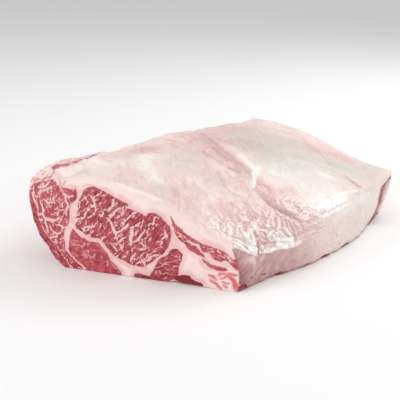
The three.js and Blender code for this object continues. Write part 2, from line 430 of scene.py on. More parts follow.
# Tints of the skin: strength, centre, radii and turn of patches, then strength, half width
# and course of strokes.
TINTS = {
    # Painted shade: a dull pink along the creases and along the crease before the sheet's edge.
    "crease_shade": (
        [(0.3, (-52, 32), (30, 7), -42)],
        [(0.5, 2.4, [(-70, 60), (-44, 33), (-20, 9), (-4, -4)]),
         (0.35, 1.7, [(-4, -4), (22, -20), (44, -30)]),
         (0.45, 1.9, [(-22, -14), (-6, -23), (13, -36), (26, -35), (35, -34)]),
         (0.25, 6.0, [(-38, 17), (-13, -4), (9, -18), (28, -27), (43, -39)]),
         (0.6, 4.0, [(72, -56), (83, -60), (95, -61), (105, -59), (117, -60)])]),
    "blush": (
        [(1.0, (-52, 18), (44, 19), -42), (0.6, (8, -20), (34, 7), -35),
         (0.4, (-8, 18), (26, 7), -42), (0.6, (-76, -44), (18, 16), -20),
         (0.55, (-70, 80), (12, 40), 20), (0.5, (10, -60), (30, 12), -40),
         (1.0, (50, -58), (18, 12), -40), (0.8, (72, -44), (15, 10), -15),
         (0.45, (-68, -45), (26, 14), -35), (0.75, (58, -108), (30, 14), -50),
         (0.9, (98, -108), (22, 18), -62), (0.55, (97, -78), (20, 16), 60),
         (0.45, (20, -152), (44, 7), 2), (0.35, (-90, -110), (14, 50), 0),
         (0.5, (-85, -60), (14, 40), 10), (0.5, (30, -140), (26, 12), -5),
         (0.4, (-45, -125), (34, 14), 0), (0.6, (56, 118), (44, 8), -45),
         (0.6, (128, 100), (8, 34), 0), (0.8, (74, 140), (14, 24), -20),
         (1.0, (-106, -140), (8, 60), 4), (0.8, (95, -85), (22, 22), 0),
         (0.6, (-45, 95), (20, 50), 15), (0.4, (85, 150), (30, 40), -20),
         (0.5, (30, -118), (30, 16), -20)],
        [(0.5, 5.0, [(-43, 45), (-18, 19), (1, 5)]),
         (0.9, 5.0, [(62, -45), (70, -45), (78, -42), (85, -31), (88, -16)]),
         (0.4, 5.0, [(-38, 17), (-13, -4), (9, -18), (28, -27)]),
         (0.7, 6.0, [(-1, -168), (29, -163), (49, -159), (70, -156), (88, -149)])]),
    # Painted shade: grey-pink patches that darken the back, most of all towards its far end.
    "painted_shade": (
        [(0.75, (-32, 92), (40, 62), 20), (0.6, (12, 34), (22, 22), -30),
         (0.5, (36, 108), (24, 44), -20), (0.35, (-30, -30), (34, 24), -40),
         (0.55, (104, -42), (15, 12), 0), (0.9, (2, 24), (22, 16), 0),
         (0.4, (70, 60), (40, 60), -20), (0.5, (128, 122), (12, 22), 0)],
        []),
    "silver": (
        [(1.0, (25, 62), (56, 44), -45), (0.7, (92, 60), (36, 70), -10),
         (0.8, (62, 24), (36, 22), -45), (0.9, (108, 108), (24, 30), 0),
         (0.75, (-12, -54), (24, 13), -40), (0.7, (-24, -78), (16, 9), -40),
         (0.8, (2, -132), (11, 8), 0), (0.6, (30, -75), (14, 10), -40),
         (0.6, (118, 150), (22, 40), 0)],
        []),
    # White fat, and painted highlights: the lit edge of the sheet's lip, lit ridges, and broad sheen
    # on the slab.
    "white_and_painted_highlight": (
        [(0.5, (-90, -117), (9, 9), 0), (0.25, (-72, -128), (24, 52), -8),
         (0.45, (76, 2), (26, 16), 35), (0.7, (118, -4), (14, 34), 0), (0.6, (96, 50), (9, 7), 60),
         (0.5, (43, -107), (6, 8), 0)],
        [(0.6, 8.0, [(-59, -74), (-38, -99), (-14, -120)]),
         (0.9, 4.0, [(-27, -161), (-15, -162), (-2, -161), (13, -158)]),
         (0.2, 12.0, [(-86, -168), (-83, -138), (-76, -110)]),
         (3.0, 2.2, [(46, -14), (51, -30), (54, -41), (58, -50)]),
         (0.3, 4.0, [(1, 5), (17, -6), (30, -13), (39, -19)]),
         (0.8, 1.6, [(117, -17), (120, 8), (124, 40), (129, 60)]),
         (0.8, 1.8, [(133, -13), (133, 4), (135, 29), (136, 55), (137, 82)]),
         (0.5, 3.5, [(22, -10), (43, -23), (50, -30)])]),
    "red": (
        [(0.3, (82, -97), (8, 9), -40), (0.25, (100, -60), (12, 5), -10)],
        [(0.25, 1.2, [(-44, 33), (-20, 9), (-4, -4), (22, -20), (44, -30)]),
         (0.45, 1.3, [(-22, -14), (-6, -23), (13, -36), (26, -35)]),
         (0.35, 1.7, [(22, -58), (31, -68), (41, -77)]), (0.35, 3.0, [(-90, -34), (-68, -60)]),
         (0.4, 1.6, [(-80, -18), (-68, -14)]), (0.45, 2.0, [(-90, 12), (-69, 2)]),
         (0.4, 2.0, [(-69, -9), (-47, -29)]),
         (0.35, 1.6, [(24, 149), (49, 119), (65, 106), (85, 89)]),
         (0.45, 2.2, [(109, 79), (120, 76), (128, 73)]), (0.4, 1.5, [(-7, 101), (7, 84)]),
         (0.4, 1.3, [(27, 70), (34, 65)]), (0.35, 4.0, [(9, -122), (19, -134)]),
         (0.35, 2.2, [(45, -148), (53, -153)]), (0.35, 2.0, [(57, -149), (67, -153)]),
         (0.5, 2.0, [(76, -53), (88, -54)]), (0.3, 1.0, [(118, -32), (129, -6), (131, 12)]),
         (0.3, 2.2, [(108, 76), (125, 75), (136, 77)])]),
}

# The seam along the chine edge, where a strip of flank meat lies against the fat.
CHINE_SEAM = [(-91, -192), (-90, -174), (-90, -164), (-91, -153), (-94, -138), (-95, -124),
              (-98, -108), (-103, -90)]

# The membrane's taut, glassy patches, where white is also painted as highlights: strength, centre,
# radii and turn.
FILM_PATCHES = [
    (1.0, (93, -118), (15, 6.5), -62),
    (1.0, (110, -87), (16, 5.2), 59),
    (1.0, (96, -132), (12, 4), 62),
    (0.9, (113, -93), (24, 3.5), 69),
    (1.0, (67, -143), (5, 2.5), -78),
    (0.9, (72, -132), (5, 4), 50),
    (1.0, (123, -1), (16.5, 9), 62),
    (0.9, (74, -100), (4, 3), 0),
    (0.7, (126, -42), (4, 10), 10),
    (0.6, (45, -107), (7, 5), 0),
]

# Where the membrane is wet and crinkled: strength, centre, radii and turn.
WET_PATCHES = [
    (1.0, (94, -116), (20, 30), 10),
    (0.9, (112, -76), (18, 30), 15),
    (0.6, (68, -134), (10, 14), 20),
    (0.6, (123, -2), (11, 30), 0),
    (0.75, (104, -46), (17, 15), 0),
    (0.8, (122, -48), (12, 18), 0),
]

# The hem that the membrane ends in on the rib side: its height along the roast.
HEM_Y = [-145, -136, -126, -116, -93, -72, -54, -36, -12, 16, 47, 86, 140]
HEM_Z = [42, 36, 29, 27.5, 26.5, 26, 28, 32, 36, 38, 40, 40, 44]

# How much of a flap the membrane makes over its hem, along the roast.
FLAP_Y = [-150, -136, -120, -108, -90, -80, -66, -56]
FLAP_SHARE = [0.3, 0.6, 0.4, 0.6, 0.7, 0.6, 0.4, 0.0]

# The folds of the wet membrane: height, half width and course (x, y, z) of each ridge, then
# depth, half width and course of each furrow.
FOLD_RIDGES = [
    (1.9, 2.3, [(86, -101, 51), (89, -105, 50), (90, -107, 48)]),
    (1.8, 1.8, [(88, -114, 49), (90, -120, 46), (93, -125, 44), (95, -125, 41)]),
    (1.8, 1.7, [(90, -114, 48), (94, -119, 45), (96, -120, 42), (96, -124, 39)]),
    (1.3, 1.4, [(95, -126, 41), (99, -120, 39)]),
    (1.4, 1.2, [(93, -108, 47), (95, -112, 44), (98, -115, 41)]),
    (1.3, 1.3, [(75, -106, 55), (79, -112, 51)]),
    (1.2, 1.2, [(86, -122, 49), (90, -125, 45), (93, -127, 44)]),
    (1.2, 1.6, [(88, -140, 43), (94, -137, 38), (97, -135, 34), (100, -130, 27)]),
    (1.2, 1.4, [(97, -129, 36), (100, -126, 34), (101, -120, 33)]),
    (1.2, 1.2, [(102, -102, 41), (102, -97, 43), (103, -92, 44), (106, -92, 42)]),
    (1.2, 1.6, [(105, -96, 40), (107, -96, 39)]),
    (1.0, 1.2, [(97, -104, 44), (99, -107, 42)]),
    (1.1, 1.2, [(101, -77, 48), (104, -81, 46), (105, -88, 44)]),
    (1.3, 1.2, [(105, -73, 47), (108, -78, 44), (111, -80, 41), (114, -77, 38)]),
    (1.3, 1.7, [(108, -88, 41), (111, -85, 39), (114, -83, 35)]),
    (1.1, 1.3, [(103, -107, 37), (106, -100, 36), (110, -92, 36), (113, -85, 34)]),
    (1.0, 1.5, [(109, -97, 33), (112, -92, 29), (114, -89, 26)]),
    (1.1, 1.6, [(114, -82, 32), (116, -77, 32), (116, -81, 28)]),
    (1.0, 1.1, [(104, -64, 49), (109, -70, 45)]),
    (1.0, 1.2, [(96, -81, 48), (100, -89, 46)]),
    (0.8, 1.1, [(102, -113, 35), (104, -113, 29)]),
    (0.8, 1.1, [(87, -74, 55), (90, -86, 51), (94, -96, 47)]),
    (0.8, 1.1, [(91, -71, 54), (93, -84, 51), (97, -94, 47)]),
    (0.8, 1.1, [(97, -68, 51), (98, -79, 48)]),
    (0.9, 1.1, [(102, -69, 50), (104, -78, 46)]),
    (0.8, 1.5, [(52, -128, 64), (59, -136, 60), (65, -142, 56)]),
    (0.7, 1.3, [(66, -121, 58), (73, -128, 54)]),
    (0.7, 1.3, [(63, -133, 58), (69, -141, 55)]),
    (0.6, 1.1, [(54, -109, 65), (60, -115, 61)]),
    (1.3, 2.8, [(120, -12, 48), (124, 4, 48), (126, 24, 48)]),
    (1.1, 1.2, [(123, -30, 46), (126, -6, 46), (129, 26, 45), (132, 52, 46)]),
    (1.0, 1.1, [(126, -28, 42), (130, 1, 42), (133, 32, 42), (134, 77, 44)]),
    (0.9, 1.4, [(115, -14, 51), (118, 2, 51), (119, 21, 51)]),
    (0.9, 1.6, [(101, -50, 55), (108, -52, 51), (115, -51, 48)]),
    (0.9, 1.4, [(90, -43, 60), (96, -41, 58)]),
]
FOLD_FURROWS = [
    (1.3, 1.3, [(79, -108, 53), (83, -114, 50), (87, -118, 47)]),
    (1.3, 1.1, [(90, -118, 47), (94, -124, 42)]),
    (1.9, 1.3, [(92, -110, 46), (96, -114, 43), (100, -117, 36), (102, -120, 29)]),
    (1.3, 1.3, [(99, -113, 40), (102, -111, 36), (104, -105, 36), (107, -97, 35)]),
    (1.2, 1.2, [(94, -135, 41), (97, -131, 37), (99, -129, 32)]),
    (1.1, 1.1, [(98, -102, 45), (100, -106, 40), (103, -105, 38)]),
    (1.0, 1.1, [(97, -87, 48), (101, -91, 45), (104, -90, 43)]),
    (1.0, 1.1, [(108, -85, 43), (111, -83, 40), (114, -81, 36)]),
    (1.0, 1.2, [(104, -69, 48), (109, -75, 44)]),
    (0.8, 1.1, [(96, -75, 50), (102, -85, 46)]),
    (0.8, 1.1, [(101, -72, 50), (106, -78, 45)]),
    (0.9, 1.1, [(108, -68, 47), (112, -71, 42)]),
    (0.8, 1.1, [(103, -114, 32), (103, -116, 28)]),
]

# How far the foot of the near cut is drawn up off the floor, along the cut.
FOOT_ACROSS = [0, 60, 100, 116, 138, 148, 156, 166, 182, 198, 217]
FOOT_LIFT = [0.2, 0.3, 0.4, 0.7, 0.5, 0.8, 2.4, 1.4, 1.0, 0.3, 0.2]
FOOT_REACH = 9.0

# Past the sheet's crease its lip rises over this run, stays level, then fades away.
LIP_RUN = 3.5
LIP_LEVEL = 2
LIP_FADE = 9

# How far one seed's noise lies from the next, along x, y and z.
LUMP_SEED_STEP = (31.7, -17.3, 9.1)
FOLD_SEED_STEP = (13.1, 7.7, 3.3)

# How sharp a fold's crest is, how much its course bends, and what is taken off its height.
FOLD_SHARPNESS = 1.6
FOLD_BEND = 0.6
WRINKLE_FLOOR = 0.4
FOLD_FLOOR = 0.35

# Lumps of the hem's line: height and size in millimetres, and seed.
HEM_LUMPS = [(1.3, 8, 21), (1.1, 3.5, 25)]
HEM_SOFTNESS = 1.4

# The flap lies this far above the hem, and is as high as this.
FLAP_ABOVE_HEM = 1.5
FLAP_HEIGHT = 2.6
RIB_HALF_FROM_X = 70

# What makes the membrane taut, and how taut it has to be to look glassy and to be painted white as a
# highlight.
TAUT_PATCH = 0.45
TAUT_RIDGE = 0.85
TAUT_FURROW = 0.8
TAUT_LUMPS = (0.3, 5, 23)
FLAP_LUMPS = (0.3, 5, 27)
FILM_FROM = 0.4
FILM_TO = 0.65


def soft_patch(points, centre, radii, turn):
    """1 at the centre of a turned ellipse, falling to 0 outside it."""
    c, s = math.cos(math.radians(turn)), math.sin(math.radians(turn))
    dx, dy = points[:, 0] - centre[0], points[:, 1] - centre[1]
    p, q = (dx * c + dy * s) / radii[0], (dy * c - dx * s) / radii[1]
    return np.exp(-(p * p + q * q))


def patched(places, patches):
    """The strengths of the patches, added up at each place."""
    shares = (strength * soft_patch(places, *shape) for strength, *shape in patches)
    return sum(shares, np.zeros(len(places)))


def along_courses(points, courses):
    """Soft ridges that follow the courses."""
    height = np.zeros(len(points))
    for rise, half_width, spots in courses:
        spots = np.array(spots, float)
        nearest = np.full(len(points), FAR_AWAY)
        for start, end in zip(spots[:-1], spots[1:]):
            nearest = np.minimum(nearest, distance_to_line(points, start, end)[0])
        height += rise * bell(nearest, half_width)
    return height


def tint_of(plan, name):
    """The share of one tint at each place, from 0 to 1."""
    patches, strokes = TINTS[name]
    return np.clip(patched(plan, patches) + along_courses(plan, strokes), 0, 1)


def from_sheet_edge(plan):
    """Distance behind the sheet's edge, negative before it, and the place along the edge."""
    spots = np.array(SHEET_EDGE, float)
    nearest = np.full(len(plan), FAR_AWAY)
    side = np.ones(len(plan))
    place = np.zeros(len(plan))
    for i, (start, end) in enumerate(zip(spots[:-1], spots[1:])):
        gap, t = distance_to_line(plan, start, end)
        closer = gap < nearest
        way = end - start
        turned = way[0] * (plan[:, 1] - start[1]) - way[1] * (plan[:, 0] - start[0])
        nearest = np.where(closer, gap, nearest)
        side = np.where(closer, np.sign(turned), side)
        place = np.where(closer, i + t, place)
    return nearest * side, place


def sheet_edge_height(plan):
    """The lip of the sheet, and the crease before it."""
    behind, place = from_sheet_edge(plan)
    stations = np.arange(len(SHEET_EDGE))
    lip = np.interp(place, stations, LIP_RISE)
    crease = np.interp(place, stations, CREASE_DEPTH)
    half_width = np.interp(place, stations, CREASE_HALF_WIDTH)
    past_crease = behind + SHEET_EDGE_SHIFT
    rise = ramp(past_crease, 0, LIP_RUN)
    rise = rise * rise * (3 - 2 * rise) * np.exp(-np.maximum(0, behind - LIP_LEVEL) / LIP_FADE)
    return lip * rise - crease * bell(past_crease, half_width)


def lumps(points, size, seed, detail=3):
    """Soft noise from -1 to 1 with lumps of the size given, in millimetres."""
    shift = Vector([seed * step for step in LUMP_SEED_STEP])
    return np.array([noise.fractal(Vector(p) / size + shift, 1.0, 2.0, detail) for p in points])


def lumpy(base, points, layers):
    """The base with layers of lumps on it: the height, size and seed of each."""
    return sum((rise * lumps(points, *shape) for rise, *shape in layers), base)


def drawn_lumps(points, draw, rise, size, seed):
    """Lumps of the height given, drawn out along x, y and z."""
    return rise * lumps(points / draw, size, seed)


def crest(place):
    """Height of a sharp-crested fold."""
    return (1 - abs(noise.noise(place) * FOLD_SHARPNESS)) ** 3


def wrinkles(points, degrees, stretch, size, seed):
    """Sharp-crested folds, drawn out along one direction in plan."""
    turn = Matrix.Rotation(math.radians(degrees), 3, "Z")
    shift = Vector([seed * step for step in FOLD_SEED_STEP])
    heights = []
    for p in points:
        q = turn @ Vector(p)
        q.x /= stretch
        q = q / size + shift
        bend = Vector((noise.noise(q * 0.5), noise.noise(q * 0.5 + shift), 0))
        heights.append(crest(q + FOLD_BEND * bend))
    return np.array(heights)


def above_hem(points):
    """1 above the membrane's hem, 0 below it."""
    hem = lumpy(np.interp(points[:, 1], HEM_Y, HEM_Z), points, HEM_LUMPS)
    return soft_step(points[:, 2] - hem, HEM_SOFTNESS)


def hem_flap(points):
    """The membrane lies white and flat just above its hem, near the cut."""
    over = points[:, 2] - np.interp(points[:, 1], HEM_Y, HEM_Z) - FLAP_ABOVE_HEM
    along = np.interp(points[:, 1], FLAP_Y, FLAP_SHARE)
    return along * bell(over, FLAP_HEIGHT) * (points[:, 0] > RIB_HALF_FROM_X)


def wet_membrane(points, shares, ridges, furrows):
    """Where the membrane is wet and crinkled, and where it is taut and glassy."""
    plan = points[:, :2]
    skin = above_hem(points) * np.clip(shares[:, BACK] + shares[:, RIB_SIDE], 0, 1)
    wet = np.clip(patched(plan, WET_PATCHES), 0, 1) * skin
    flap = hem_flap(points)
    taut = lumpy(TAUT_PATCH * patched(plan, FILM_PATCHES), points, [TAUT_LUMPS])
    taut += TAUT_RIDGE * ridges - TAUT_FURROW * furrows
    taut += flap + drawn_lumps(points, 1, *FLAP_LUMPS) * flap
    return wet, ramp(taut, FILM_FROM, FILM_TO) * skin


# ---------------------------------------------------------------- the block's shape

# A face belongs to a zone when its normal leans far enough that way.
NEAR_NORMAL = (CUT_SKEW, -1, 0.03)
NEAR_NORMAL_SHARE = 0.9
FAR_NORMAL_Y = 0.45
FAR_CUT_FROM_Y = 120
UNDER_NORMAL_Z = -0.62
CHINE_NORMAL_X = -0.45
RIB_NORMAL_X = 0.7
RIB_SIDE_FROM_X = 60

# Parts of the block that are divided or smoothed more: ranges of x, y and z.
ANY = 999
MEMBRANE_BOX = ((56, ANY), (-156, 24), (22, ANY))
RIB_EDGE_BOX = ((70, ANY), (-155, 165), (22, ANY))

# Beside the sheet's edge and the seam along the chine edge the cells are small too: how far
# to either side, and from what height.
SHEET_EDGE_REACH = 7
SHEET_EDGE_FROM_Z = 60
SEAM_REACH = 4.0
SEAM_SHARE = 0.4
SEAM_FROM_Z = 70

# Corners of the block that are closer than this are one vertex.
MERGE_DISTANCE = 0.01 * MM

# How often the inner part, the edge over the ribs and all but the underside are smoothed.
INNER_PASSES = 8
RIB_EDGE_PASSES = 34
OUTER_PASSES = 1

# The near cut's top rim: how far the softening reaches, and how often it is done.
RIM_FROM_X = -104.0
RIM_TO_X = 90.0
RIM_REACH = 6.0
RIM_PASSES = 18
RIM_TAPER = 0.8


def name_zone(face, near_normal):
    """The zone that a face of the block lies in."""
    normal = face.normal
    middle = face.calc_center_median()
    if normal.dot(near_normal) > NEAR_NORMAL_SHARE:
        return NEAR_CUT
    if normal.y > FAR_NORMAL_Y and middle.y > FAR_CUT_FROM_Y * MM:
        return FAR_CUT
    if normal.z < UNDER_NORMAL_Z:
        return UNDERSIDE
    if normal.x < CHINE_NORMAL_X:
        return CHINE_SIDE
    if normal.x > RIB_NORMAL_X and middle.x > RIB_SIDE_FROM_X * MM:
        return RIB_SIDE
    return BACK


def divide(block, keep_edge):
    edges = [edge for edge in block.edges if keep_edge(edge)]
    bmesh.ops.subdivide_edges(block, edges=edges, cuts=1, use_grid_fill=True)


def soften(block, verts):
    bmesh.ops.smooth_vert(block, verts=verts, factor=0.5,
                          use_axis_x=True, use_axis_y=True, use_axis_z=True)


def zones_of(thing, zone):
    """The zones of the faces that meet at a vertex or an edge."""
    return {face[zone] for face in thing.link_faces}


def in_box(place, box):
    """Whether a place in metres lies in a box in millimetres."""
    return all(low * MM < value < high * MM for value, (low, high) in zip(place, box))


def by_sheet_edge(points):
    behind, _ = from_sheet_edge(points[:, :2])
    return (np.abs(behind) < SHEET_EDGE_REACH) & (points[:, 2] > SHEET_EDGE_FROM_Z)


def by_chine_seam(points):
    seam = along_courses(points[:, :2], [(1.0, SEAM_REACH, CHINE_SEAM)])
    return (seam > SEAM_SHARE) & (points[:, 2] > SEAM_FROM_Z)


def round_top_rim(block, zone):
    """Softens the near cut's top rim, where its fat turns on to the back."""
    rim = [v.co.copy() for v in block.verts if {NEAR_CUT, BACK} <= zones_of(v, zone)]
    tree = kdtree.KDTree(len(rim))
    for i, place in enumerate(rim):
        tree.insert(place, i)
    tree.balance()
    near_rim = [v for v in block.verts if tree.find(v.co)[2] < RIM_REACH * MM]
    for turn in range(RIM_PASSES):
        low, high = RIM_FROM_X + RIM_TAPER * turn, RIM_TO_X - RIM_TAPER * turn
        soften(block, [v for v in near_rim if low < v.co.x / MM < high])


def soften_cells(block, zone):
    """Takes the flat cells out of the block, most of all along the edge over the ribs."""
    rims = {NEAR_CUT, FAR_CUT, UNDERSIDE}
    inner = [v for v in block.verts
             if not (rims & zones_of(v, zone) and len(zones_of(v, zone)) > 1)]
    rib_edge = [v for v in inner if in_box(v.co, RIB_EDGE_BOX)]
    outer = [v for v in block.verts if UNDERSIDE not in zones_of(v, zone)]
    for verts, passes in ((inner, INNER_PASSES), (rib_edge, RIB_EDGE_PASSES), (outer, OUTER_PASSES)):
        for _ in range(passes):
            soften(block, verts)


def divide_fine_parts(block, zone):
    """Gives the near cut, the membrane, the sheet's edge and the seam smaller cells."""
    middles = np.array([(e.verts[0].co + e.verts[1].co)[:] for e in block.edges]) / 2 / MM
    fine = by_sheet_edge(middles) | by_chine_seam(middles)
    block.edges.index_update()
    divide(block, lambda edge: NEAR_CUT in zones_of(edge, zone) or fine[edge.index]
           or all(in_box(vert.co, MEMBRANE_BOX) for vert in edge.verts))


def meat_block():
    """The CAD block's copy: merged, divided finely, and its flat cells softened."""
    block = bmesh.new()
    block.from_mesh(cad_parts["roast"].data)
    bmesh.ops.remove_doubles(block, verts=block.verts, dist=MERGE_DISTANCE)
    block.normal_update()
    zone = block.faces.layers.int.new("zone")
    near_normal = Vector(NEAR_NORMAL).normalized()
    for face in block.faces:
        face[zone] = name_zone(face, near_normal)
    divide(block, lambda edge: True)
    divide(block, lambda edge: zones_of(edge, zone) not in ({UNDERSIDE}, {CHINE_SIDE}))
    soften_cells(block, zone)
    divide_fine_parts(block, zone)
    round_top_rim(block, zone)
    block.normal_update()
    return block, zone


def cut_places(points):
    """Millimetres across and up the near cut for points in millimetres."""
    along = math.hypot(1, CUT_SKEW)
    across = CUT_WIDTH + (points[:, 0] - CUT_CORNER[0]) * along
    return np.stack([across, points[:, 2]], 1)


# The far cut's two ends, and the height of either cut's top at shares of its width.
FAR_LEFT_X = -92.0
FAR_RIGHT_X = 137.0
NEAR_TOP_AT = [0, 0.2, 0.45, 0.7, 1]
NEAR_TOP_UP = [84, 90, 86, 70, 43]
FAR_TOP_AT = [0, 0.15, 1]
FAR_TOP_UP = [70, 87, 46]

# How far the far cut's muscles sway across and up, and over what length.
FAR_SWAY_ACROSS = (3, 17)
FAR_SWAY_UP = (2.5, 23)


def far_places(points):
    """Places on the far cut, as if its outline were stretched over that of the near one."""
    x, z = points[:, 0], points[:, 2]
    share = ramp(x, FAR_LEFT_X, FAR_RIGHT_X)
    near_top = np.interp(share, NEAR_TOP_AT, NEAR_TOP_UP)
    far_top = np.interp(share, FAR_TOP_AT, FAR_TOP_UP)
    across = CUT_WIDTH * share + FAR_SWAY_ACROSS[0] * np.sin(z / FAR_SWAY_ACROSS[1])
    up = z * near_top / far_top + FAR_SWAY_UP[0] * np.sin(x / FAR_SWAY_UP[1])
    return np.stack([across, up], 1)


def zone_shares(block, zone):
    """For each vertex, the share of its faces that lie in each zone."""
    shares = np.zeros((len(block.verts), ZONE_COUNT))
    for vert in block.verts:
        for face in vert.link_faces:
            shares[vert.index, face[zone]] += 1 / len(vert.link_faces)
    return shares


# The wet membrane's folds spread out from this place, x and y. They are drawn out by the
# stretch, and bent a little.
FAN_CENTRE = (74, -38)
FAN_RADIUS = 45.0
FAN_STRETCH = 4.5
FAN_BEND = 0.45
FAN_BEND_SHIFT = Vector((9, 4, 2))

# Folds of the membrane: height, size and seed of the fan, then height, turn, stretch, size
# and seed of the others.
FAN_FOLDS = (0.6, 4.2, 3.5)
CRUMPLES = (0.6, 59, 1.7, 4.6, 3)
FINE_CRUMPLES = (0.45, 35, 1.3, 2.7, 5)
HEM_FOLDS = (1.3, -80, 3.0, 4.5, 9)
HEM_FOLDS_FROM_Y = -60
HEM_FOLDS_TO_Y = -42
FILM_SMOOTHS = 0.6

# The traced folds are shaken by this much, in waves of this size.
FOLD_SHAKE = 0.9
FOLD_SHAKE_SIZE = 4


def fan_folds(points, size, seed):
    """Sharp folds that spread out from the end of the crease."""
    across, along = points[:, 0] - FAN_CENTRE[0], points[:, 1] - FAN_CENTRE[1]
    turns = np.arctan2(along, across) * FAN_RADIUS / size
    reaches = np.hypot(across, along) / (FAN_STRETCH * size)
    heights = []
    for turn, reach in zip(turns, reaches):
        q = Vector((turn, reach, seed))
        bend = Vector((noise.noise(q * 0.8), noise.noise(q * 0.8 + FAN_BEND_SHIFT), 0))
        heights.append(crest(q + FAN_BEND * bend))
    return np.array(heights)


def traced_folds(points):
    """The ridges and the furrows of the wet membrane, a little shaken."""
    shake = np.array([noise.noise_vector(Vector(p) / FOLD_SHAKE_SIZE) for p in points])
    shaken = points + FOLD_SHAKE * shake
    return along_courses(shaken, FOLD_RIDGES), along_courses(shaken, FOLD_FURROWS)


def folds_of(make, points, rise, *shape):
    """Folds of one kind, partly above the skin and partly below it."""
    return rise * (make(points, *shape) - FOLD_FLOOR)


def membrane_folds(points, film, ridges, furrows):
    """Crumples that fan out near the cut, and run along the hem further on."""
    along_hem = ramp(points[:, 1], HEM_FOLDS_FROM_Y, HEM_FOLDS_TO_Y)
    fan = folds_of(fan_folds, points, *FAN_FOLDS)
    crumple = folds_of(wrinkles, points, *CRUMPLES)
    fine = folds_of(wrinkles, points, *FINE_CRUMPLES)
    hem = folds_of(wrinkles, points, *HEM_FOLDS)
    loose = (fan + crumple) * (1 - along_hem) + hem * along_hem + fine * (1 - FILM_SMOOTHS * film)
    return loose + ridges - furrows


# Lumps of the skin: height and size in millimetres, and seed.
SKIN_LUMPS = [(1.3, 46, 1), (0.6, 15, 2)]

# Wrinkles of the dry skin: height, how much lower they are behind the sheet's edge, turn,
# stretch, size and seed.
DRY_WRINKLES = [(0.9, 0.5, 45, 3.5, 11, 4), (0.4, 0.25, 45, 2.2, 5, 8)]
SMOOTH_FROM = 3
SMOOTH_TO = 13

# The back's own relief starts at this height, and the seam is a furrow in it.
BACK_FROM_Z = 40
BACK_FADE = 10
SEAM_DEPTH = 1.0
SEAM_HALF_WIDTH = 1.8

# How soon the folds reach their full height where the skin is wet.
WET_GAIN = 1.6

# The sides' foot is lumpy up to this height: size and seed, and height of the lumps. The
# underside is calmer than the rest by this share.
FOOT_HEIGHT = 14
FOOT_LUMPS = (8, 6)
FOOT_LUMP_HEIGHT = 1.6
UNDERSIDE_CALM = 0.85


def on_back(points, shares):
    """1 on the back, 0 elsewhere and low down."""
    return np.clip(shares[:, BACK] * (points[:, 2] - BACK_FROM_Z) / BACK_FADE, 0, 1)


def skin_height(points, shares, wet, film, ridges, furrows):
    """How far the skin stands out from the softened block, in millimetres."""
    plan = points[:, :2]
    back = on_back(points, shares)
    behind, _ = from_sheet_edge(plan)
    smooth = ramp(behind, SMOOTH_FROM, SMOOTH_TO)
    height = lumpy(0, points, SKIN_LUMPS)
    height += back * (along_courses(plan, RIDGES) - along_courses(plan, CREASES))
    height += back * sheet_edge_height(plan)
    dry = back * (1 - wet)
    for rise, calm, *shape in DRY_WRINKLES:
        height += dry * (rise - calm * smooth) * (wrinkles(points, *shape) - WRINKLE_FLOOR)
    height += np.clip(WET_GAIN * wet, 0, 1) * membrane_folds(points, film, ridges, furrows)
    height -= SEAM_DEPTH * shares[:, BACK] * along_courses(plan, [(1.0, SEAM_HALF_WIDTH, CHINE_SEAM)])
    foot = np.clip(1 - points[:, 2] / FOOT_HEIGHT, 0, 1)
    foot = foot * (shares[:, RIB_SIDE] + shares[:, CHINE_SIDE])
    height += foot * FOOT_LUMP_HEIGHT * lumps(points, *FOOT_LUMPS)
    height += shares[:, CHINE_SIDE] * chine_bumps(points)
    height *= 1 - UNDERSIDE_CALM * shares[:, UNDERSIDE]
    return height


# The strip ends here along the roast, over this length, and lies above this height. Its
# border is soft and lumpy.
STRIP_END_Y = -80.0
STRIP_FADE = 20
STRIP_FROM_Z = 78
STRIP_SOFTNESS = 2.5
STRIP_LUMPS = [(0.8, 5, 33)]


def beyond_seam(points):
    """1 on the strip of flank meat along the chine edge, 0 elsewhere."""
    seam = np.array(sorted((y, x) for x, y in CHINE_SEAM))
    over = np.interp(points[:, 1], seam[:, 0], seam[:, 1]) - points[:, 0]
    over = lumpy(over, points, STRIP_LUMPS)
    fade = ramp(points[:, 1], STRIP_END_Y, STRIP_END_Y - STRIP_FADE)
    return soft_step(over, STRIP_SOFTNESS) * fade * (points[:, 2] > STRIP_FROM_Z)


# A knob on the chine side by the near cut: how far it stands out, its height and half width.
CHINE_KNOB = (2.4, 33.0, 7.0)
KNOB_FROM_Y = -140
KNOB_TO_Y = -160

# Lumps of the chine side, which fade out below its top edge.
CHINE_LUMP_HEIGHT = 1.8
CHINE_LUMPS = (13, 41)
CHINE_TOP_Z = 80
CHINE_FADE = 20


def chine_bumps(points):
    """The chine side was torn from the bone, so it is knobbly."""
    rise, knob_z, half_width = CHINE_KNOB
    knob = rise * bell(points[:, 2] - knob_z, half_width)
    knob = knob * ramp(points[:, 1], KNOB_FROM_Y, KNOB_TO_Y)
    below_edge = ramp(points[:, 2], CHINE_TOP_Z, CHINE_TOP_Z - CHINE_FADE)
    return knob + CHINE_LUMP_HEIGHT * lumps(points, *CHINE_LUMPS) * below_edge


# How far the lean stands out of a cut and its veins lie in, then the waves that the knife
# left: height, size, seed and detail.
LEAN_RISE = 0.12
VEIN_DIP = 0.08
KNIFE_WAVES = [(0.7, 40, 7, 2), (0.22, 5, 8, 2)]


def cut_height(lean, vein, points):
    """The lean stands a little proud of the fat, and the knife left it slightly wavy."""
    relief = LEAN_RISE * np.clip(lean + 0.5, 0, 1.5) - VEIN_DIP * np.clip(vein + 0.4, 0, 1)
    return lumpy(relief, points, KNIFE_WAVES)


# Fat fills most of the groove beside the strip: how much, in millimetres, and where.
GROOVE_FILL = 5.0
GROOVE_HALF_WIDTH = 9.0
GROOVE = [(-88, -190), (-89, -166), (-90, -143), (-94, -114), (-97, -90)]
FILL_FROM_Z = 70
FILL_TO_Z = 86


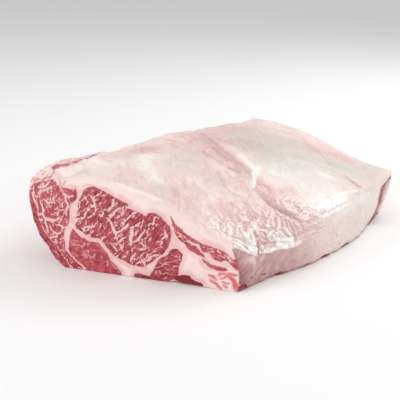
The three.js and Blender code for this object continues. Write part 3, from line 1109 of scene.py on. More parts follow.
def groove_fill(points, shares, near):
    """The fat that fills the groove, which also raises the top of the near cut."""
    share = np.where(near, ramp(points[:, 2], FILL_FROM_Z, FILL_TO_Z), on_back(points, shares))
    return GROOVE_FILL * along_courses(points[:, :2], [(1.0, GROOVE_HALF_WIDTH, GROOVE)]) * share


# Waves in the line of the near cut's foot: height, size, seed and detail.
FOOT_WAVES = [(0.6, 7, 31, 2)]


def from_cut_plane(points):
    """Distance along the roast behind the near cut."""
    return points[:, 1] - (CUT_CORNER[1] + CUT_SKEW * (points[:, 0] - CUT_CORNER[0]))


def foot_lift(points):
    """The near cut's foot draws up off the floor, unevenly."""
    across = cut_places(points)[:, 0]
    lift = lumpy(np.interp(across, FOOT_ACROSS, FOOT_LIFT), points * [1, 1, 0], FOOT_WAVES)
    behind = np.maximum(0, from_cut_plane(points))
    near = bell(behind, FOOT_REACH) * np.exp(-points[:, 2] / FOOT_REACH)
    return np.maximum(0, lift) * near


# A corner counts as folded when the normals of its face and its vertex agree less than this.
IRON_BELOW = 0.35
IRON_PASSES = 6


def iron_out(block):
    """Smooths the few places where neighbouring cells have folded over each other."""
    for _ in range(IRON_PASSES):
        block.normal_update()
        folded = {vert.index for face in block.faces for vert in face.verts
                  if min(face.normal.dot(corner.normal) for corner in face.verts) < IRON_BELOW}
        creased = [vert for vert in block.verts if vert.index in folded
                   and len({face.material_index for face in vert.link_faces}) == 1]
        soften(block, creased)


# What a cut shows at each place, and the seed of either cut.
CUT_TRAITS = ("lean", "vein", "marbling", "pale", "grain")
NEAR_SEED = 11
FAR_SEED = 29

# How the rims between a cut and the skin are bumped.
RIM_KNOB_SHARE = 0.7
RIM_LUMPS = (0.5, 7, 9)

# Vertices of the underside below this height stay on the floor, and no other goes lower
# than the clearance.
FLOOR_BELOW_Z = 0.3
FLOOR_CLEARANCE = 0.05


def cut_traits_of(points, near, far):
    """What both cuts show, at every vertex of the block."""
    traits = {name: np.zeros(len(points)) for name in CUT_TRAITS}
    for chosen, places, seed in ((near, cut_places(points), NEAR_SEED),
                                 (far, far_places(points), FAR_SEED)):
        for name, values in zip(CUT_TRAITS, read_cut(places[chosen], seed)):
            traits[name][chosen] = values
    return traits


def rim_height(points, shares):
    """The edge between a cut and the skin is uneven, most of all on the chine side."""
    knobs = np.where(shares[:, CHINE_SIDE] > 0, RIM_KNOB_SHARE * chine_bumps(points), 0)
    return lumpy(knobs, points, [RIM_LUMPS])


def raised_places(points, normals, shares, near, height):
    """Where the vertices go: out along their normals, but never into the floor."""
    moved = points + normals * height[:, None]
    on_floor = (points[:, 2] < FLOOR_BELOW_Z) & (shares[:, UNDERSIDE] > 0)
    moved[:, 2] = np.where(on_floor, points[:, 2], np.maximum(moved[:, 2], FLOOR_CLEARANCE))
    moved[:, 2] += foot_lift(points)
    moved[:, 2] += groove_fill(points, shares, near)
    return moved


def build_roast():
    block, zone = meat_block()
    block.verts.index_update()
    points = np.array([v.co[:] for v in block.verts]) / MM
    normals = np.array([v.normal[:] for v in block.verts])
    shares = zone_shares(block, zone)
    near = shares[:, NEAR_CUT] > 0
    far = (shares[:, FAR_CUT] > 0) & ~near
    traits = cut_traits_of(points, near, far)

    ridges, furrows = traced_folds(points)
    wet, film = wet_membrane(points, shares, ridges, furrows)
    cut = shares[:, NEAR_CUT] + shares[:, FAR_CUT]
    height = np.where(cut > 0.5, cut_height(traits["lean"], traits["vein"], points),
                      skin_height(points, shares, wet, film, ridges, furrows))
    height = np.where((cut > 0) & (cut < 1), rim_height(points, shares), height)
    for vert, place in zip(block.verts, raised_places(points, normals, shares, near, height) * MM):
        vert.co = place
    for face in block.faces:
        face.smooth = True
        face.material_index = 0 if face[zone] in (NEAR_CUT, FAR_CUT) else 1
    iron_out(block)

    shows_cut = near | (far & (points[:, 0] < TIP_FROM_X))
    traits.update(skin_traits(points, shares, shows_cut, traits))
    traits["red"] = np.clip(traits["red"] + FURROW_RED * furrows, 0, 1)
    traits.update({"wet": wet, "film": film})
    return make_piece(block, zone, traits)


def make_piece(block, zone, traits):
    """The finished block as an object, with its traits stored at its vertices."""
    mesh = bpy.data.meshes.new("rib_roast")
    lay_bake_map(block, zone)
    block.to_mesh(mesh)
    block.free()
    for name, values in traits.items():
        layer = mesh.attributes.new(name, "FLOAT", "POINT")
        layer.data.foreach_set("value", values.astype(np.float32))
    piece = bpy.data.objects.new("rib_roast", mesh)
    bpy.context.scene.collection.objects.link(piece)
    return piece


# ---------------------------------------------------------------- what the skin shows

# How mauve the bare rib side is along the roast, and where it is silvery.
MAUVE_Y = [-150, -120, -93, -70, -50, -30, 0, 40]
MAUVE_SHARE = [1.0, 0.85, 0.75, 0.6, 0.28, 0.12, 0.04, 0.0]
RIB_SILVER = [(1.0, (130, 70), (16, 60), 0)]

# How red the furrows of the wet membrane are.
FURROW_RED = 0.5

# The far tip is cut back here, along its height: lean shows behind this edge.
TIP_FROM_X = 95
TIP_EDGE_Z = [0, 12, 18, 27, 35, 39, 46]
TIP_EDGE_Y = [86, 95, 100, 108, 118, 142, 190]

# Dark bits of lean at the foot of the rib side, as y, z.
FOOT_BITS = [
    (0.8, (-133, 10), (7, 1.2), -30), (0.9, (-114, 7), (9, 1.3), -14), (0.7, (-85, 2), (6, 1.4), 0),
    (0.5, (-60, 2), (6, 1.2), 0), (0.8, (-28, 2), (8, 1.5), 8), (0.6, (12, 2), (6, 1.4), 0),
    (0.9, (-144, 3), (6, 4), 0),
]

# Whitish smears of membrane on the rib side, as y, z.
SMEARS = [
    (0.7, (-130, 27), (4, 3), 20), (0.7, (-128, 22), (2, 5), -15), (0.6, (-117, 24), (5, 2), 30),
    (0.5, (-137, 27), (5, 3), 30), (0.4, (-92, 18), (8, 2), 40), (0.4, (-70, 20), (4, 7), 0),
]

# Depths of lean, in millimetres: under fat, at most, and how much deeper fat covers the foot
# where the side isn't upright.
NO_LEAN = -20
LEAN_MOST = 6
FOOT_COVER = 12

# How ragged the lean's edges are: height, size and seed.
RAGS = (1.8, 9, 12)

# Lean along the foot: how high it reaches, its lumps, and the depth and lumps of the bits.
FOOT_LEAN_Z = 1.0
FOOT_LEAN_LUMPS = [(6, 14, 13)]
BIT_DEPTH = 7
BIT_COVER = 3
BIT_LUMPS = [(2.5, 4, 19)]

# Lean on the far tip: the depth of its band, how far the band lies behind the edge and how
# wide it is for each millimetre of depth, then its patches. Its duskiness fades out again.
TIP_BAND_DEPTH = 2.6
TIP_BAND_BEHIND = 12
TIP_BAND_WIDTH = 4.5
TIP_PATCHES = (3, 9, 17)
TIP_PATCH_COVER = 1.5
TIP_STARTS_BEHIND = 2
TIP_DUSK_FULL = 3
TIP_DUSK_END = 48
TIP_DUSK_FADE = 20
TIP_DUSK_LEAST = 0.3

# Torn lean on the chine side and the underside: height, size and seed of its patches. On the
# chine side, fat covers it from this height upwards.
CHINE_LEAN = (6, 12, 14)
CHINE_LEAN_DEPTH = 3
CHINE_FAT_FROM_Z = 72
UNDER_LEAN = (5, 12, 15)
UNDER_LEAN_COVER = 0.5

# The dark corner beside the near cut, and the line right at its edge: reach along the roast,
# then the heights that they fade between.
CORNER_FROM_Y = -149.5
CORNER_BRUISE = (11, 30, 18)
CORNER_LINE = (2.5, 41, 37)

# The dark line along the foot: its strength on the floor, over what height it fades by as
# much as one, and its share of the whole.
FOOT_RIM = (1.6, 2.2)
FOOT_RIM_SHARE = 0.7

# The cut's fat is seen past its edge for this far, at two places across, above this height.
RIM_FAT_X = [-60, 0]
RIM_FAT_REACH = [16, 9]
RIM_FAT_FROM_Z = 45

# The tints fade in between these heights, and the seam is a red line this wide to each side.
TINTS_FROM_Z = 30
TINTS_TO_Z = 50
SEAM_LINE_HALF_WIDTH = 1.6

# What the lean under the skin looks like, and how pale it is on the rib side and far cut.
SKIN_LEAN = {"vein": -3.0, "marbling": 0.6, "pale": 0.15, "grain": 1.2}
SIDE_PALENESS = -0.7
SIDE_SHARE = 0.3


def behind_tip_edge(points):
    """Distance along the roast behind the far tip's edge."""
    return points[:, 1] - np.interp(points[:, 2], TIP_EDGE_Z, TIP_EDGE_Y)


def foot_lean(points, ragged, upright):
    """Lean along the foot of the rib side, and dark bits of it a little higher."""
    cover = FOOT_COVER * (1 - upright)
    foot = lumpy(FOOT_LEAN_Z - points[:, 2], points, FOOT_LEAN_LUMPS) + ragged - cover
    bits = BIT_DEPTH * patched(points[:, 1:], FOOT_BITS) - BIT_COVER + ragged
    return np.maximum(foot, lumpy(bits, points / [1, 2, 1], BIT_LUMPS) - cover)


def tip_lean(points, shares, ragged):
    """Lean on the far tip, in a band behind its edge and in patches beyond it."""
    behind = behind_tip_edge(points)
    band = TIP_BAND_DEPTH - np.abs(behind - TIP_BAND_BEHIND) / TIP_BAND_WIDTH
    tip = np.maximum(band, drawn_lumps(points, [1, 3, 1], *TIP_PATCHES) - TIP_PATCH_COVER)
    on_tip = (points[:, 0] > TIP_FROM_X) & (behind > TIP_STARTS_BEHIND) & (shares[:, BACK] < 0.5)
    return np.where(on_tip, tip + 0.5 * ragged, NO_LEAN)


def bare_lean(points, shares):
    """Where lean shows through the skin: its depth in millimetres, negative under fat."""
    ragged = drawn_lumps(points, 1, *RAGS)
    upright = np.maximum(shares[:, RIB_SIDE], shares[:, UNDERSIDE])
    chine = drawn_lumps(points, [1, 3.2, 1], *CHINE_LEAN) + CHINE_LEAN_DEPTH
    chine = chine - 0.5 * np.maximum(0, points[:, 2] - CHINE_FAT_FROM_Z)
    under = drawn_lumps(points, [3, 1, 1], *UNDER_LEAN) - UNDER_LEAN_COVER
    depths = [foot_lean(points, ragged, upright), tip_lean(points, shares, ragged),
              np.where(shares[:, CHINE_SIDE] > 0.5, chine, NO_LEAN),
              np.where(shares[:, UNDERSIDE] > 0.5, under, NO_LEAN)]
    return np.clip(np.maximum.reduce(depths), NO_LEAN, LEAN_MOST)


def mauve_share(points, shares):
    """How mauve the bare rib side is, under the hem and between the smears."""
    mauve = np.interp(points[:, 1], MAUVE_Y, MAUVE_SHARE)
    mauve = mauve * (shares[:, RIB_SIDE] + shares[:, BACK]) * (points[:, 0] > RIB_HALF_FROM_X)
    mauve *= 1 - above_hem(points)
    smears = patched(points[:, 1:], SMEARS) * shares[:, RIB_SIDE]
    return np.clip(mauve * (1 - np.clip(smears, 0, 1)), 0, 1)


def bruise_share(points, shares):
    """How dark the rib side is beside the near cut and along its foot."""
    z, rib = points[:, 2], shares[:, RIB_SIDE]
    past_cut = np.maximum(0, points[:, 1] - CORNER_FROM_Y)
    corner, line = (rib * bell(past_cut, reach) * ramp(z, high, low)
                    for reach, high, low in (CORNER_BRUISE, CORNER_LINE))
    foot_rim = rib * np.clip(FOOT_RIM[0] - z / FOOT_RIM[1], 0, 1)
    return np.clip(np.maximum(corner, line) + FOOT_RIM_SHARE * foot_rim, 0, 1)


def tip_share(points, shares):
    """How dusky the cut-back far tip is."""
    past_edge = behind_tip_edge(points)
    fade = np.clip((TIP_DUSK_END - past_edge) / TIP_DUSK_FADE, TIP_DUSK_LEAST, 1)
    behind_tip = ramp(past_edge, 0, TIP_DUSK_FULL) * fade
    sides = np.clip(shares[:, RIB_SIDE] + shares[:, FAR_CUT] + shares[:, UNDERSIDE], 0, 1)
    return behind_tip * (points[:, 0] > TIP_FROM_X) * sides


def rim_share(points):
    """Where the fat of the near cut turns on to the back."""
    reach = np.interp(points[:, 0], RIM_FAT_X, RIM_FAT_REACH)
    return bell(from_cut_plane(points), reach) * (points[:, 2] > RIM_FAT_FROM_Z)


def skin_traits(points, shares, cut, cut_traits):
    """The skin's tints, and where it lets lean show."""
    plan, z = points[:, :2], points[:, 2]
    own = {"lean": bare_lean(points, shares), **SKIN_LEAN}
    traits = {name: np.where(cut, cut_traits[name], value) for name, value in own.items()}
    on_top = ramp(z, TINTS_FROM_Z, TINTS_TO_Z)
    traits.update({name: tint_of(plan, name) * on_top for name in TINTS})
    rib_silver = patched(plan, RIB_SILVER) * shares[:, RIB_SIDE]
    traits["silver"] = np.maximum(traits["silver"], rib_silver)
    seam = along_courses(plan, [(1.0, SEAM_LINE_HALF_WIDTH, CHINE_SEAM)])
    traits["seam"] = seam * (z > SEAM_FROM_Z)
    traits["strip"] = beyond_seam(points)
    traits["mauve"] = mauve_share(points, shares)
    traits["bruise"] = bruise_share(points, shares)
    traits["tip"] = tip_share(points, shares)
    traits["rim"] = rim_share(points)
    side = ~cut & (shares[:, RIB_SIDE] + shares[:, FAR_CUT] > SIDE_SHARE)
    traits["pale"] = np.where(side, SIDE_PALENESS, traits["pale"])
    return traits


# Where each zone's chart lies on the square map: left, bottom, and map units a millimetre.
MAP_SIDE = 256.0
CHARTS = {
    NEAR_CUT: (2, 150, 1.0),
    FAR_CUT: (222, 150, 0.42),
    BACK: (2, 2, 0.36),
    UNDERSIDE: (92, 2, 0.36),
    CHINE_SIDE: (178, 2, 0.36),
    RIB_SIDE: (222, 2, 0.36),
}

# What brings every chart's own corner to zero, in millimetres.
NEAR_CHART_SHIFT = 4
FAR_CHART_SHIFT = 100
CHART_SHIFT_X = 142
CHART_SHIFT_Y = 195


def chart_place(zone_name, point):
    """Flat millimetres of a point on its zone's own chart."""
    x, y, z = point / MM
    if zone_name == NEAR_CUT:
        return CUT_WIDTH + (x - CUT_CORNER[0]) * math.hypot(1, CUT_SKEW) + NEAR_CHART_SHIFT, z
    if zone_name == FAR_CUT:
        return z, x + FAR_CHART_SHIFT
    if zone_name in (CHINE_SIDE, RIB_SIDE):
        return z, y + CHART_SHIFT_Y
    return x + CHART_SHIFT_X, y + CHART_SHIFT_Y


def lay_bake_map(block, zone):
    """A flat map of the piece, one chart for each zone, for its baked looks."""
    layer = block.loops.layers.uv.new("OFBake")
    for face in block.faces:
        left, bottom, size = CHARTS[face[zone]]
        for loop in face.loops:
            across, up = chart_place(face[zone], loop.vert.co)
            loop[layer].uv = ((left + across * size) / MAP_SIDE, (bottom + up * size) / MAP_SIDE)


# ---------------------------------------------------------------- finishes


def shade(red, green, blue):
    """A colour given as on a screen, 0 to 255, as the renderer's linear values."""
    def linear(level):
        level /= 255
        return level / 12.92 if level <= 0.04045 else ((level + 0.055) / 1.055) ** 2.4
    return (linear(red), linear(green), linear(blue), 1.0)


class Sheet:
    """Adds nodes to a tree and joins them up."""

    def __init__(self, tree):
        self.tree = tree

    def add(self, kind, inputs=None, **settings):
        node = self.tree.nodes.new(kind)
        for name, value in settings.items():
            setattr(node, name, value)
        for name, value in (inputs or {}).items():
            if isinstance(value, bpy.types.NodeSocket):
                self.tree.links.new(value, node.inputs[name])
            else:
                node.inputs[name].default_value = value
        return node

    def place(self):
        return self.add("ShaderNodeTexCoord").outputs["Object"]

    def trait(self, name):
        return self.add("ShaderNodeAttribute", attribute_name=name).outputs["Fac"]

    def noise(self, place, size_mm, detail=2.0, distortion=0.0, **settings):
        values = {"Vector": place, "Scale": 1000 / size_mm, "Detail": detail,
                  "Distortion": distortion}
        return self.add("ShaderNodeTexNoise", values, **settings).outputs["Fac"]

    def calc(self, operation, *values):
        return self.add("ShaderNodeMath", dict(enumerate(values)), operation=operation).outputs[0]

    def times(self, first, second):
        return self.calc("MULTIPLY", first, second)

    def minus(self, first, second):
        return self.calc("SUBTRACT", first, second)

    def most(self, first, second):
        return self.calc("MAXIMUM", first, second)

    def scaled(self, value, factor, added):
        """The value times the factor, plus what is added."""
        return self.calc("MULTIPLY_ADD", value, factor, added)

    def between(self, value, low, high, to_low=0.0, to_high=1.0):
        """The value eased from the range low to high on to the range to_low to to_high."""
        values = {"Value": value, "From Min": low, "From Max": high,
                  "To Min": to_low, "To Max": to_high}
        return self.add("ShaderNodeMapRange", values, interpolation_type="SMOOTHSTEP").outputs[0]

    def blend(self, share, first, second):
        """The first colour, with the given share of the second in its stead."""
        values = {0: share, 6: first, 7: second}
        return self.add("ShaderNodeMix", values, data_type="RGBA").outputs[2]

    def stretched(self, place, axis, angle, scale):
        """The place turned about an axis, then drawn out by the scale."""
        turned = self.add("ShaderNodeVectorRotate", {"Vector": place, "Angle": angle},
                          rotation_type=axis + "_AXIS").outputs[0]
        return self.add("ShaderNodeVectorMath", {0: turned, 1: scale}, operation="MULTIPLY").outputs[0]

    def bump(self, strength, distance, height):
        values = {"Strength": strength, "Distance": distance, "Height": height}
        return self.add("ShaderNodeBump", values).outputs[0]


def new_group(name, inputs, outputs):
    group = bpy.data.node_groups.new(name, "ShaderNodeTree")
    for socket, kind in inputs:
        group.interface.new_socket(socket, in_out="INPUT", socket_type=kind)
    for socket, kind in outputs:
        group.interface.new_socket(socket, in_out="OUTPUT", socket_type=kind)
    sheet = Sheet(group)
    return group, sheet, sheet.add("NodeGroupInput").outputs, sheet.add("NodeGroupOutput").inputs


DARK_LEAN = shade(130, 24, 36)
MID_LEAN = shade(178, 62, 75)
PALE_LEAN = shade(206, 102, 110)
SALMON_LEAN = shade(232, 104, 108)
PINK_VEIN = shade(222, 150, 150)
VEIN_FAT = shade(242, 202, 199)
SEAM_FAT = shade(238, 192, 190)
CUT_FAT = shade(254, 229, 225)

# Sizes of the meat's patterns, in millimetres.
EDGE_RAGS = 2.4
VEIN_RAGS = 1.9
FLECKS = 3.2
SPECKS = 1.2
TONES = 5.5
FIBRES = 2.0
FAT_CLOUDS = 5.0

# How much the patterns are squeezed along the grain, and the way that the fat's clouds lie.
GRAIN_STRETCH = (0.38, 1.0, 1.0)
FAT_STRETCH = (0.3, 1.0, 1.0)
FAT_TURN = math.radians(-28)

# How far, in millimetres, the edges of the lean and of the veins are pushed about.
LEAN_RAGGED = 2.4
VEIN_RAGGED = 2.6


def strewn_marbling(sheet, place, grain, marbling):
    """Flecks of fat along the grain, and fainter specks between them."""
    fleck_level = sheet.scaled(marbling, -0.17, 0.765)
    fleck = sheet.minus(sheet.noise(grain, FLECKS, 3, 0.8), fleck_level)
    speck_level = sheet.scaled(marbling, -0.10, 0.71)
    speck = sheet.minus(sheet.noise(place, SPECKS, 2), speck_level)
    return sheet.most(sheet.between(fleck, -0.05, 0.09), sheet.between(speck, -0.03, 0.07, 0.0, 0.35))


def lean_tone(sheet, place, grain, paleness):
    """Light and dark of the lean, in blotches and in fibres along the grain."""
    tone = sheet.times(sheet.noise(place, TONES, 4, 0.5), 0.45)
    tone = sheet.scaled(sheet.noise(grain, FIBRES, 3), 0.55, tone)
    return sheet.scaled(paleness, 0.2, tone)


def lean_colour(sheet, tone, paleness):
    """Red that grows paler with its tone, and salmon where the muscle is pale."""
    red = sheet.blend(sheet.between(tone, 0.36, 0.52), DARK_LEAN, MID_LEAN)
    red = sheet.blend(sheet.between(tone, 0.5, 0.68), red, PALE_LEAN)
    return sheet.blend(sheet.between(paleness, 0.4, 0.8, 0.0, 0.6), red, SALMON_LEAN)


def fat_colour(sheet, given, lean, lean_depth):
    """White fat, pink beside a muscle and inside it, in faint clouds."""
    cloud = sheet.noise(sheet.stretched(given["Place"], "Y", FAT_TURN, FAT_STRETCH), FAT_CLOUDS, 3)
    beside = sheet.between(given["Paleness"], 0.3, 0.5, 1.0, 0.15)
    beside = sheet.times(sheet.between(cloud, 0.35, 0.6, 0.55, 1.0), beside)
    beside = sheet.times(sheet.between(lean_depth, -7.0, -2.0), beside)
    outside = sheet.blend(beside, CUT_FAT, SEAM_FAT)
    inside = sheet.blend(sheet.between(given["Marbling"], 0.1, 0.5), PINK_VEIN, VEIN_FAT)
    white = sheet.blend(lean, outside, inside)
    return sheet.blend(sheet.between(cloud, 0.5, 0.75, 0.0, 0.2), white, SEAM_FAT)


def marbled_meat_group():
    """Lean with marbling, and the fat between the muscles."""
    number, vector, colour = "NodeSocketFloat", "NodeSocketVector", "NodeSocketColor"
    group, sheet, given, made = new_group(
        "marbled_meat",
        [("Place", vector), ("Lean depth", number), ("Vein depth", number),
         ("Marbling", number), ("Paleness", number), ("Grain", number)],
        [("Color", colour), ("Fat", number), ("Height", number)])
    place, paleness = given["Place"], given["Paleness"]

    ragged = sheet.minus(sheet.noise(place, EDGE_RAGS, 3), 0.5)
    lean_depth = sheet.scaled(ragged, LEAN_RAGGED, given["Lean depth"])
    blur = sheet.between(paleness, 0.4, 0.8, 0.5, 1.5)
    lean = sheet.between(lean_depth, sheet.times(blur, -1.0), blur)
    wander = sheet.minus(sheet.noise(place, VEIN_RAGS, 3, 0.6), 0.5)
    vein = sheet.between(sheet.scaled(wander, VEIN_RAGGED, given["Vein depth"]), -0.4, 0.4)
    grain = sheet.stretched(place, "Y", given["Grain"], GRAIN_STRETCH)
    streaks = sheet.most(strewn_marbling(sheet, place, grain, given["Marbling"]), vein)
    fat = sheet.most(sheet.minus(1.0, lean), streaks)

    tone = lean_tone(sheet, place, grain, paleness)
    red = lean_colour(sheet, tone, paleness)
    white = fat_colour(sheet, given, lean, lean_depth)
    links = sheet.tree.links
    links.new(sheet.blend(fat, red, white), made["Color"])
    links.new(fat, made["Fat"])
    links.new(sheet.scaled(tone, 0.5, sheet.times(fat, -0.05)), made["Height"])
    return group


# How light spreads in the meat, and how its wet surface bends and scatters it.
MEAT_OPTICS = {
    "Subsurface Radius": (1.0, 0.45, 0.35),
    "Subsurface Scale": 3.5 * MM,
    "IOR": 1.42,
    "Coat Roughness": 0.07,
    "Coat IOR": 2.1,
}


def new_finish(name):
    material = bpy.data.materials.new(name)
    material.use_nodes = True
    tree = material.node_tree
    tree.nodes.clear()
    sheet = Sheet(tree)
    surface = sheet.add("ShaderNodeBsdfPrincipled", MEAT_OPTICS, subsurface_method="RANDOM_WALK")
    sheet.add("ShaderNodeOutputMaterial", {"Surface": surface.outputs[0]})
    return material, sheet, surface


# The trait that feeds each socket of the meat.
MEAT_SOCKETS = {"Lean depth": "lean", "Vein depth": "vein", "Marbling": "marbling",
                "Paleness": "pale", "Grain": "grain"}


def meat_at(sheet, meat_group, place):
    """The marbled meat, fed with the traits of its place."""
    inputs = {"Place": place}
    inputs.update({socket: sheet.trait(trait) for socket, trait in MEAT_SOCKETS.items()})
    return sheet.add("ShaderNodeGroup", inputs, node_tree=meat_group)


# How rough the cut's relief is, how far light enters it, and how wet it is.
CUT_BUMP = 0.4
CUT_SUBSURFACE = 0.1
CUT_COAT = 0.08
BUMP_DISTANCE = 1.0 * MM


def cut_face_finish(meat_group):
    material, sheet, surface = new_finish("cut_meat")
    links = sheet.tree.links
    meat = meat_at(sheet, meat_group, sheet.place())
    links.new(meat.outputs["Color"], surface.inputs["Base Color"])
    roughness = sheet.between(meat.outputs["Fat"], 0, 1, 0.4, 0.5)
    links.new(roughness, surface.inputs["Roughness"])
    bump = sheet.bump(CUT_BUMP, BUMP_DISTANCE, meat.outputs["Height"])
    links.new(bump, surface.inputs["Normal"])
    surface.inputs["Subsurface Weight"].default_value = CUT_SUBSURFACE
    surface.inputs["Coat Weight"].default_value = CUT_COAT
    return material


PLAIN_FAT = shade(240, 216, 209)
CREAM = shade(245, 226, 220)
BLUSH = shade(224, 182, 176)
# Dull pink of the painted shade in the creases.
CREASE_SHADE_PINK = shade(200, 172, 168)
SILVER = shade(213, 212, 206)
# Grey-pink of the painted shade on the back.
PAINTED_SHADE_PINK = shade(208, 186, 181)
# White of the fat and of its painted highlights.
FAT_WHITE_AND_HIGHLIGHT = shade(252, 249, 247)
FILM_PINK = shade(216, 173, 170)
MAUVE_DARK = shade(164, 112, 110)
MAUVE_LIGHT = shade(199, 152, 147)
BRUISE = shade(150, 84, 88)
TIP_DUSK = shade(160, 88, 90)
RAW_RED = shade(190, 104, 100)
SEAM_RED = shade(186, 82, 92)
STRIP_DUSK = shade(228, 176, 174)
STRIP_PINK = shade(250, 224, 220)
# White of the taut film, with painted highlights in it.
FILM_WHITE_AND_HIGHLIGHT = shade(255, 255, 254)

# The way that the skin's patterns are turned and drawn out.
FIBRE_TURN = math.radians(-45)
RIB_FIBRE_TURN = math.radians(-40)
CRUMPLE_TURN = math.radians(-31)
STREAK_STRETCH = (1.0, 0.2, 1.0)
RIB_FIBRE_STRETCH = (1.0, 0.16, 1.0)
TORN_STRETCH = (1.0, 0.4, 1.0)
CRUMPLE_STRETCH = (1.0, 0.5, 1.0)
RELIEF_STRETCH = (1.0, 0.15, 1.0)

# Sizes of the skin's patterns, in millimetres.
CLOUDS = 20
STREAKS = 4.5
MOTTLES = 3.0
RIB_FIBRES = 2.6
BREAKS = 2.6
SPOTS = 2.4
TEARS = 3.4
BRUISE_MOTTLES = 3.4
GRAININESS = 1.4
SKIN_CRUMPLES = 5.0
PORES = 2.2
RELIEF_FIBRES = 1.8


def fat_tints(sheet, place, streak, fine):
    """The back's fat: cream clouds, then its blush and silver, its painted shade, and its white fat
    with painted highlights.
    """
    cloud = sheet.noise(place, CLOUDS, 4, 0.6)
    tint = sheet.blend(sheet.between(cloud, 0.42, 0.62), PLAIN_FAT, CREAM)
    tint = sheet.blend(sheet.between(streak, 0.5, 0.7, 0.0, 0.55), tint, BLUSH)
    silver = sheet.times(sheet.trait("silver"), sheet.between(fine, 0.3, 0.6, 0.7, 1.0))
    tint = sheet.blend(silver, tint, SILVER)
    # Painted shade: the back is darkened to grey-pink in these patches.
    painted_shade = sheet.times(sheet.trait("painted_shade"), sheet.between(streak, 0.3, 0.6, 0.6, 1.0))
    tint = sheet.blend(painted_shade, tint, PAINTED_SHADE_PINK)
    blush = sheet.times(sheet.trait("blush"), sheet.between(streak, 0.36, 0.6, 0.45, 1.0))
    tint = sheet.blend(blush, tint, BLUSH)
    # White fat, and painted highlights on lit edges, ridges and the slab.
    tint = sheet.blend(sheet.trait("white_and_painted_highlight"), tint, FAT_WHITE_AND_HIGHLIGHT)
    return sheet.blend(sheet.times(sheet.trait("rim"), 0.95), tint, CUT_FAT)


def bare_side_and_creases(sheet, place, tint):
    """The mauve rib side with its fibres, the dull pink of painted shade along the creases, and the
    red of the creases.
    """
    fibre_place = sheet.stretched(place, "X", RIB_FIBRE_TURN, RIB_FIBRE_STRETCH)
    fibre = sheet.noise(fibre_place, RIB_FIBRES, 4, 0.5)
    mauve = sheet.blend(sheet.between(fibre, 0.34, 0.66), MAUVE_DARK, MAUVE_LIGHT)
    tint = sheet.blend(sheet.times(sheet.trait("mauve"), 0.95), tint, mauve)
    # Painted shade along the creases.
    tint = sheet.blend(sheet.times(sheet.trait("crease_shade"), 0.8), tint, CREASE_SHADE_PINK)
    broken = sheet.between(sheet.noise(place, BREAKS, 3, 0.8), 0.36, 0.6, 0.4, 1.0)
    return sheet.blend(sheet.times(sheet.trait("red"), broken), tint, RAW_RED)


def blood_spots(sheet, streak_place, tint):
    """Small red spots where the fat blushes and on the mauve side."""
    spots = sheet.between(sheet.noise(streak_place, SPOTS, 3, 1.0), 0.66, 0.8, 0.0, 0.3)
    stained = sheet.most(sheet.trait("blush"), sheet.trait("mauve"))
    return sheet.blend(sheet.times(spots, stained), tint, RAW_RED)


def strip_and_seam(sheet, place, tint):
    """The torn strip of flank meat, and the red seam beside it."""
    torn = sheet.noise(sheet.stretched(place, "Z", 0.0, TORN_STRETCH), TEARS, 4, 0.8)
    strip = sheet.blend(sheet.between(torn, 0.4, 0.62), STRIP_DUSK, STRIP_PINK)
    tint = sheet.blend(sheet.trait("strip"), tint, strip)
    seam = sheet.scaled(torn, 2.2, sheet.trait("seam"))
    return sheet.blend(sheet.between(seam, 1.6, 2.0, 0.0, 0.9), tint, SEAM_RED)


def bruised_parts(sheet, place, tint):
    """The dark corner and foot of the rib side, and the dusky far tip."""
    mottled = sheet.between(sheet.noise(place, BRUISE_MOTTLES, 3, 0.8), 0.34, 0.6, 0.45, 1.0)
    tint = sheet.blend(sheet.times(sheet.trait("bruise"), mottled), tint, BRUISE)
    return sheet.blend(sheet.times(sheet.trait("tip"), mottled), tint, TIP_DUSK)


def wet_membrane_colour(sheet, place, tint):
    """Pink in the membrane's hollows, and white where it is taut: partly the film's own white, partly
    painted highlights that are strongest on the crests of its crumples.
    """
    hollow = sheet.between(sheet.trait("film"), 0.0, 0.5, 0.7, 0.0)
    tint = sheet.blend(sheet.times(sheet.trait("wet"), hollow), tint, FILM_PINK)
    # Painted highlights: the taut film goes white, most of all on the crests of its crumples.
    highlight_on_crests = sheet.between(ridged(sheet, place), 0.3, 0.7, 0.6, 1.0)
    return sheet.blend(sheet.times(sheet.trait("film"), highlight_on_crests), tint, FILM_WHITE_AND_HIGHLIGHT)


def skin_colour(sheet, place, meat):
    """The skin's colour, layer on layer, with bare lean on top of it all."""
    streak_place = sheet.stretched(place, "Z", FIBRE_TURN, STREAK_STRETCH)
    streak = sheet.noise(streak_place, STREAKS, 4, 0.8)
    fine = sheet.noise(place, MOTTLES, 3, 0.5)
    tint = fat_tints(sheet, place, streak, fine)
    tint = bare_side_and_creases(sheet, place, tint)
    tint = blood_spots(sheet, streak_place, tint)
    tint = strip_and_seam(sheet, place, tint)
    tint = bruised_parts(sheet, place, tint)
    grainy = sheet.between(sheet.noise(place, GRAININESS, 3, 0.4), 0.45, 0.72, 0.0, 0.16)
    tint = wet_membrane_colour(sheet, place, sheet.blend(grainy, tint, BLUSH))
    depth = sheet.scaled(fine, 4.0, sheet.minus(sheet.trait("lean"), 2.0))
    return sheet.blend(sheet.between(depth, -0.6, 0.9), tint, meat.outputs["Color"])


def ridged(sheet, place):
    """Fine sharp-crested crumples of the membrane."""
    drawn = sheet.stretched(place, "Z", CRUMPLE_TURN, CRUMPLE_STRETCH)
    return sheet.noise(drawn, SKIN_CRUMPLES, 2.0, 0.5, noise_type="RIDGED_MULTIFRACTAL")


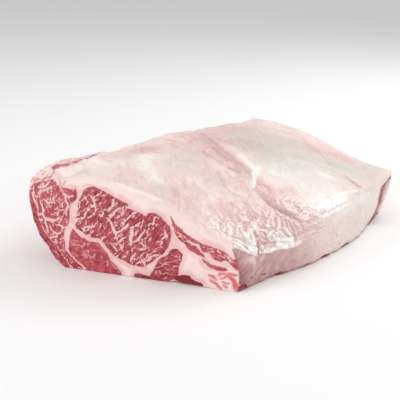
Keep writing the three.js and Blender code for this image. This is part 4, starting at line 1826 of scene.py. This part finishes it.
def skin_relief(sheet, place, wet):
    """Pores and fibres, and crumples where the membrane is wet."""
    fine = sheet.noise(place, PORES, 4, 0.6)
    fibre_place = sheet.stretched(place, "Z", FIBRE_TURN, RELIEF_STRETCH)
    height = sheet.scaled(sheet.noise(fibre_place, RELIEF_FIBRES, 3), 0.5, sheet.times(fine, 0.4))
    return sheet.scaled(sheet.times(ridged(sheet, place), wet), 1.3, height)


SKIN_BUMP = 0.55
SKIN_SUBSURFACE = 0.12


def skin_finish(meat_group):
    material, sheet, surface = new_finish("fat_and_membrane")
    links = sheet.tree.links
    place = sheet.place()
    meat = meat_at(sheet, meat_group, place)
    links.new(skin_colour(sheet, place, meat), surface.inputs["Base Color"])
    wet, film = sheet.trait("wet"), sheet.trait("film")
    dull = sheet.between(sheet.noise(place, CLOUDS, 4), 0.35, 0.65, 0.38, 0.5)
    roughness = sheet.scaled(film, -0.12, sheet.scaled(wet, -0.18, dull))
    links.new(roughness, surface.inputs["Roughness"])
    coat = sheet.most(sheet.between(wet, 0.05, 0.6, 0.05, 0.4), film)
    links.new(coat, surface.inputs["Coat Weight"])
    bump = sheet.bump(SKIN_BUMP, BUMP_DISTANCE, skin_relief(sheet, place, wet))
    links.new(bump, surface.inputs["Normal"])
    surface.inputs["Subsurface Weight"].default_value = SKIN_SUBSURFACE
    return material


# ---------------------------------------------------------------- floor, light and camera

FLOOR_HALF_SIZE = 12.0
FLOOR_COLOUR = (0.93, 0.93, 0.93, 1)
FLOOR_ROUGHNESS = 0.7

CAMERA_PLACE = (0.4314, -0.7758, 0.3205)
CAMERA_AZIMUTH = 31
CAMERA_ELEVATION = 18
CAMERA_LENS = 75
CAMERA_SENSOR = 36

# Each softbox: name, place, width and height, and watts. All of them point at the middle.
LIT_MIDDLE = (0.03, -0.03, 0.05)
SOFTBOXES = [
    ("front_left_key", (-1.2, -1.6, 0.85), (1.0, 0.8), 16.5),
    ("overhead", (-0.15, -0.1, 1.5), (1.3, 1.3), 3.5),
    ("back_window", (0.42, 1.04, 0.94), (1.0, 0.5), 6.5),
    ("rib_side_card", (1.11, 0.543, 0.495), (0.75, 0.6), 3),
]
STUDIO_COLOUR = (0.95, 0.95, 0.95, 1)
STUDIO_STRENGTH = 0.63


def plain_finish(name, colour, roughness):
    material = bpy.data.materials.new(name)
    material.use_nodes = True
    surface = material.node_tree.nodes["Principled BSDF"]
    surface.inputs["Base Color"].default_value = colour
    surface.inputs["Roughness"].default_value = roughness
    return material


def lay_floor():
    sheet = bmesh.new()
    bmesh.ops.create_grid(sheet, x_segments=1, y_segments=1, size=FLOOR_HALF_SIZE)
    mesh = bpy.data.meshes.new("floor")
    sheet.to_mesh(mesh)
    sheet.free()
    floor = bpy.data.objects.new("floor", mesh)
    floor.data.materials.append(plain_finish("pale_floor", FLOOR_COLOUR, FLOOR_ROUGHNESS))
    bpy.context.scene.collection.objects.link(floor)


def softbox(name, place, size, watts):
    lamp = bpy.data.lights.new(name, "AREA")
    lamp.shape = "RECTANGLE"
    lamp.size, lamp.size_y = size
    lamp.energy = watts
    box = bpy.data.objects.new(name, lamp)
    box.location = place
    towards = Vector(LIT_MIDDLE) - Vector(place)
    box.rotation_euler = towards.to_track_quat("-Z", "Y").to_euler()
    bpy.context.scene.collection.objects.link(box)


def set_camera():
    lens = bpy.data.cameras.new("camera")
    lens.lens = CAMERA_LENS
    lens.sensor_width = CAMERA_SENSOR
    camera = bpy.data.objects.new("camera", lens)
    camera.location = CAMERA_PLACE
    camera.rotation_euler = (math.radians(90 - CAMERA_ELEVATION), 0, math.radians(CAMERA_AZIMUTH))
    bpy.context.scene.collection.objects.link(camera)
    bpy.context.scene.camera = camera


def set_light():
    for box in SOFTBOXES:
        softbox(*box)
    world = bpy.data.worlds.new("studio")
    world.use_nodes = True
    background = world.node_tree.nodes["Background"]
    background.inputs["Color"].default_value = STUDIO_COLOUR
    background.inputs["Strength"].default_value = STUDIO_STRENGTH
    bpy.context.scene.world = world
    bpy.context.scene.view_settings.view_transform = "Standard"


def main():
    set_camera()
    set_light()
    lay_floor()
    roast = build_roast()
    meat = marbled_meat_group()
    roast.data.materials.append(cut_face_finish(meat))
    roast.data.materials.append(skin_finish(meat))
    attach(roast, "root")
    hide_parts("roast")
    bpy.context.view_layer.update()


main()
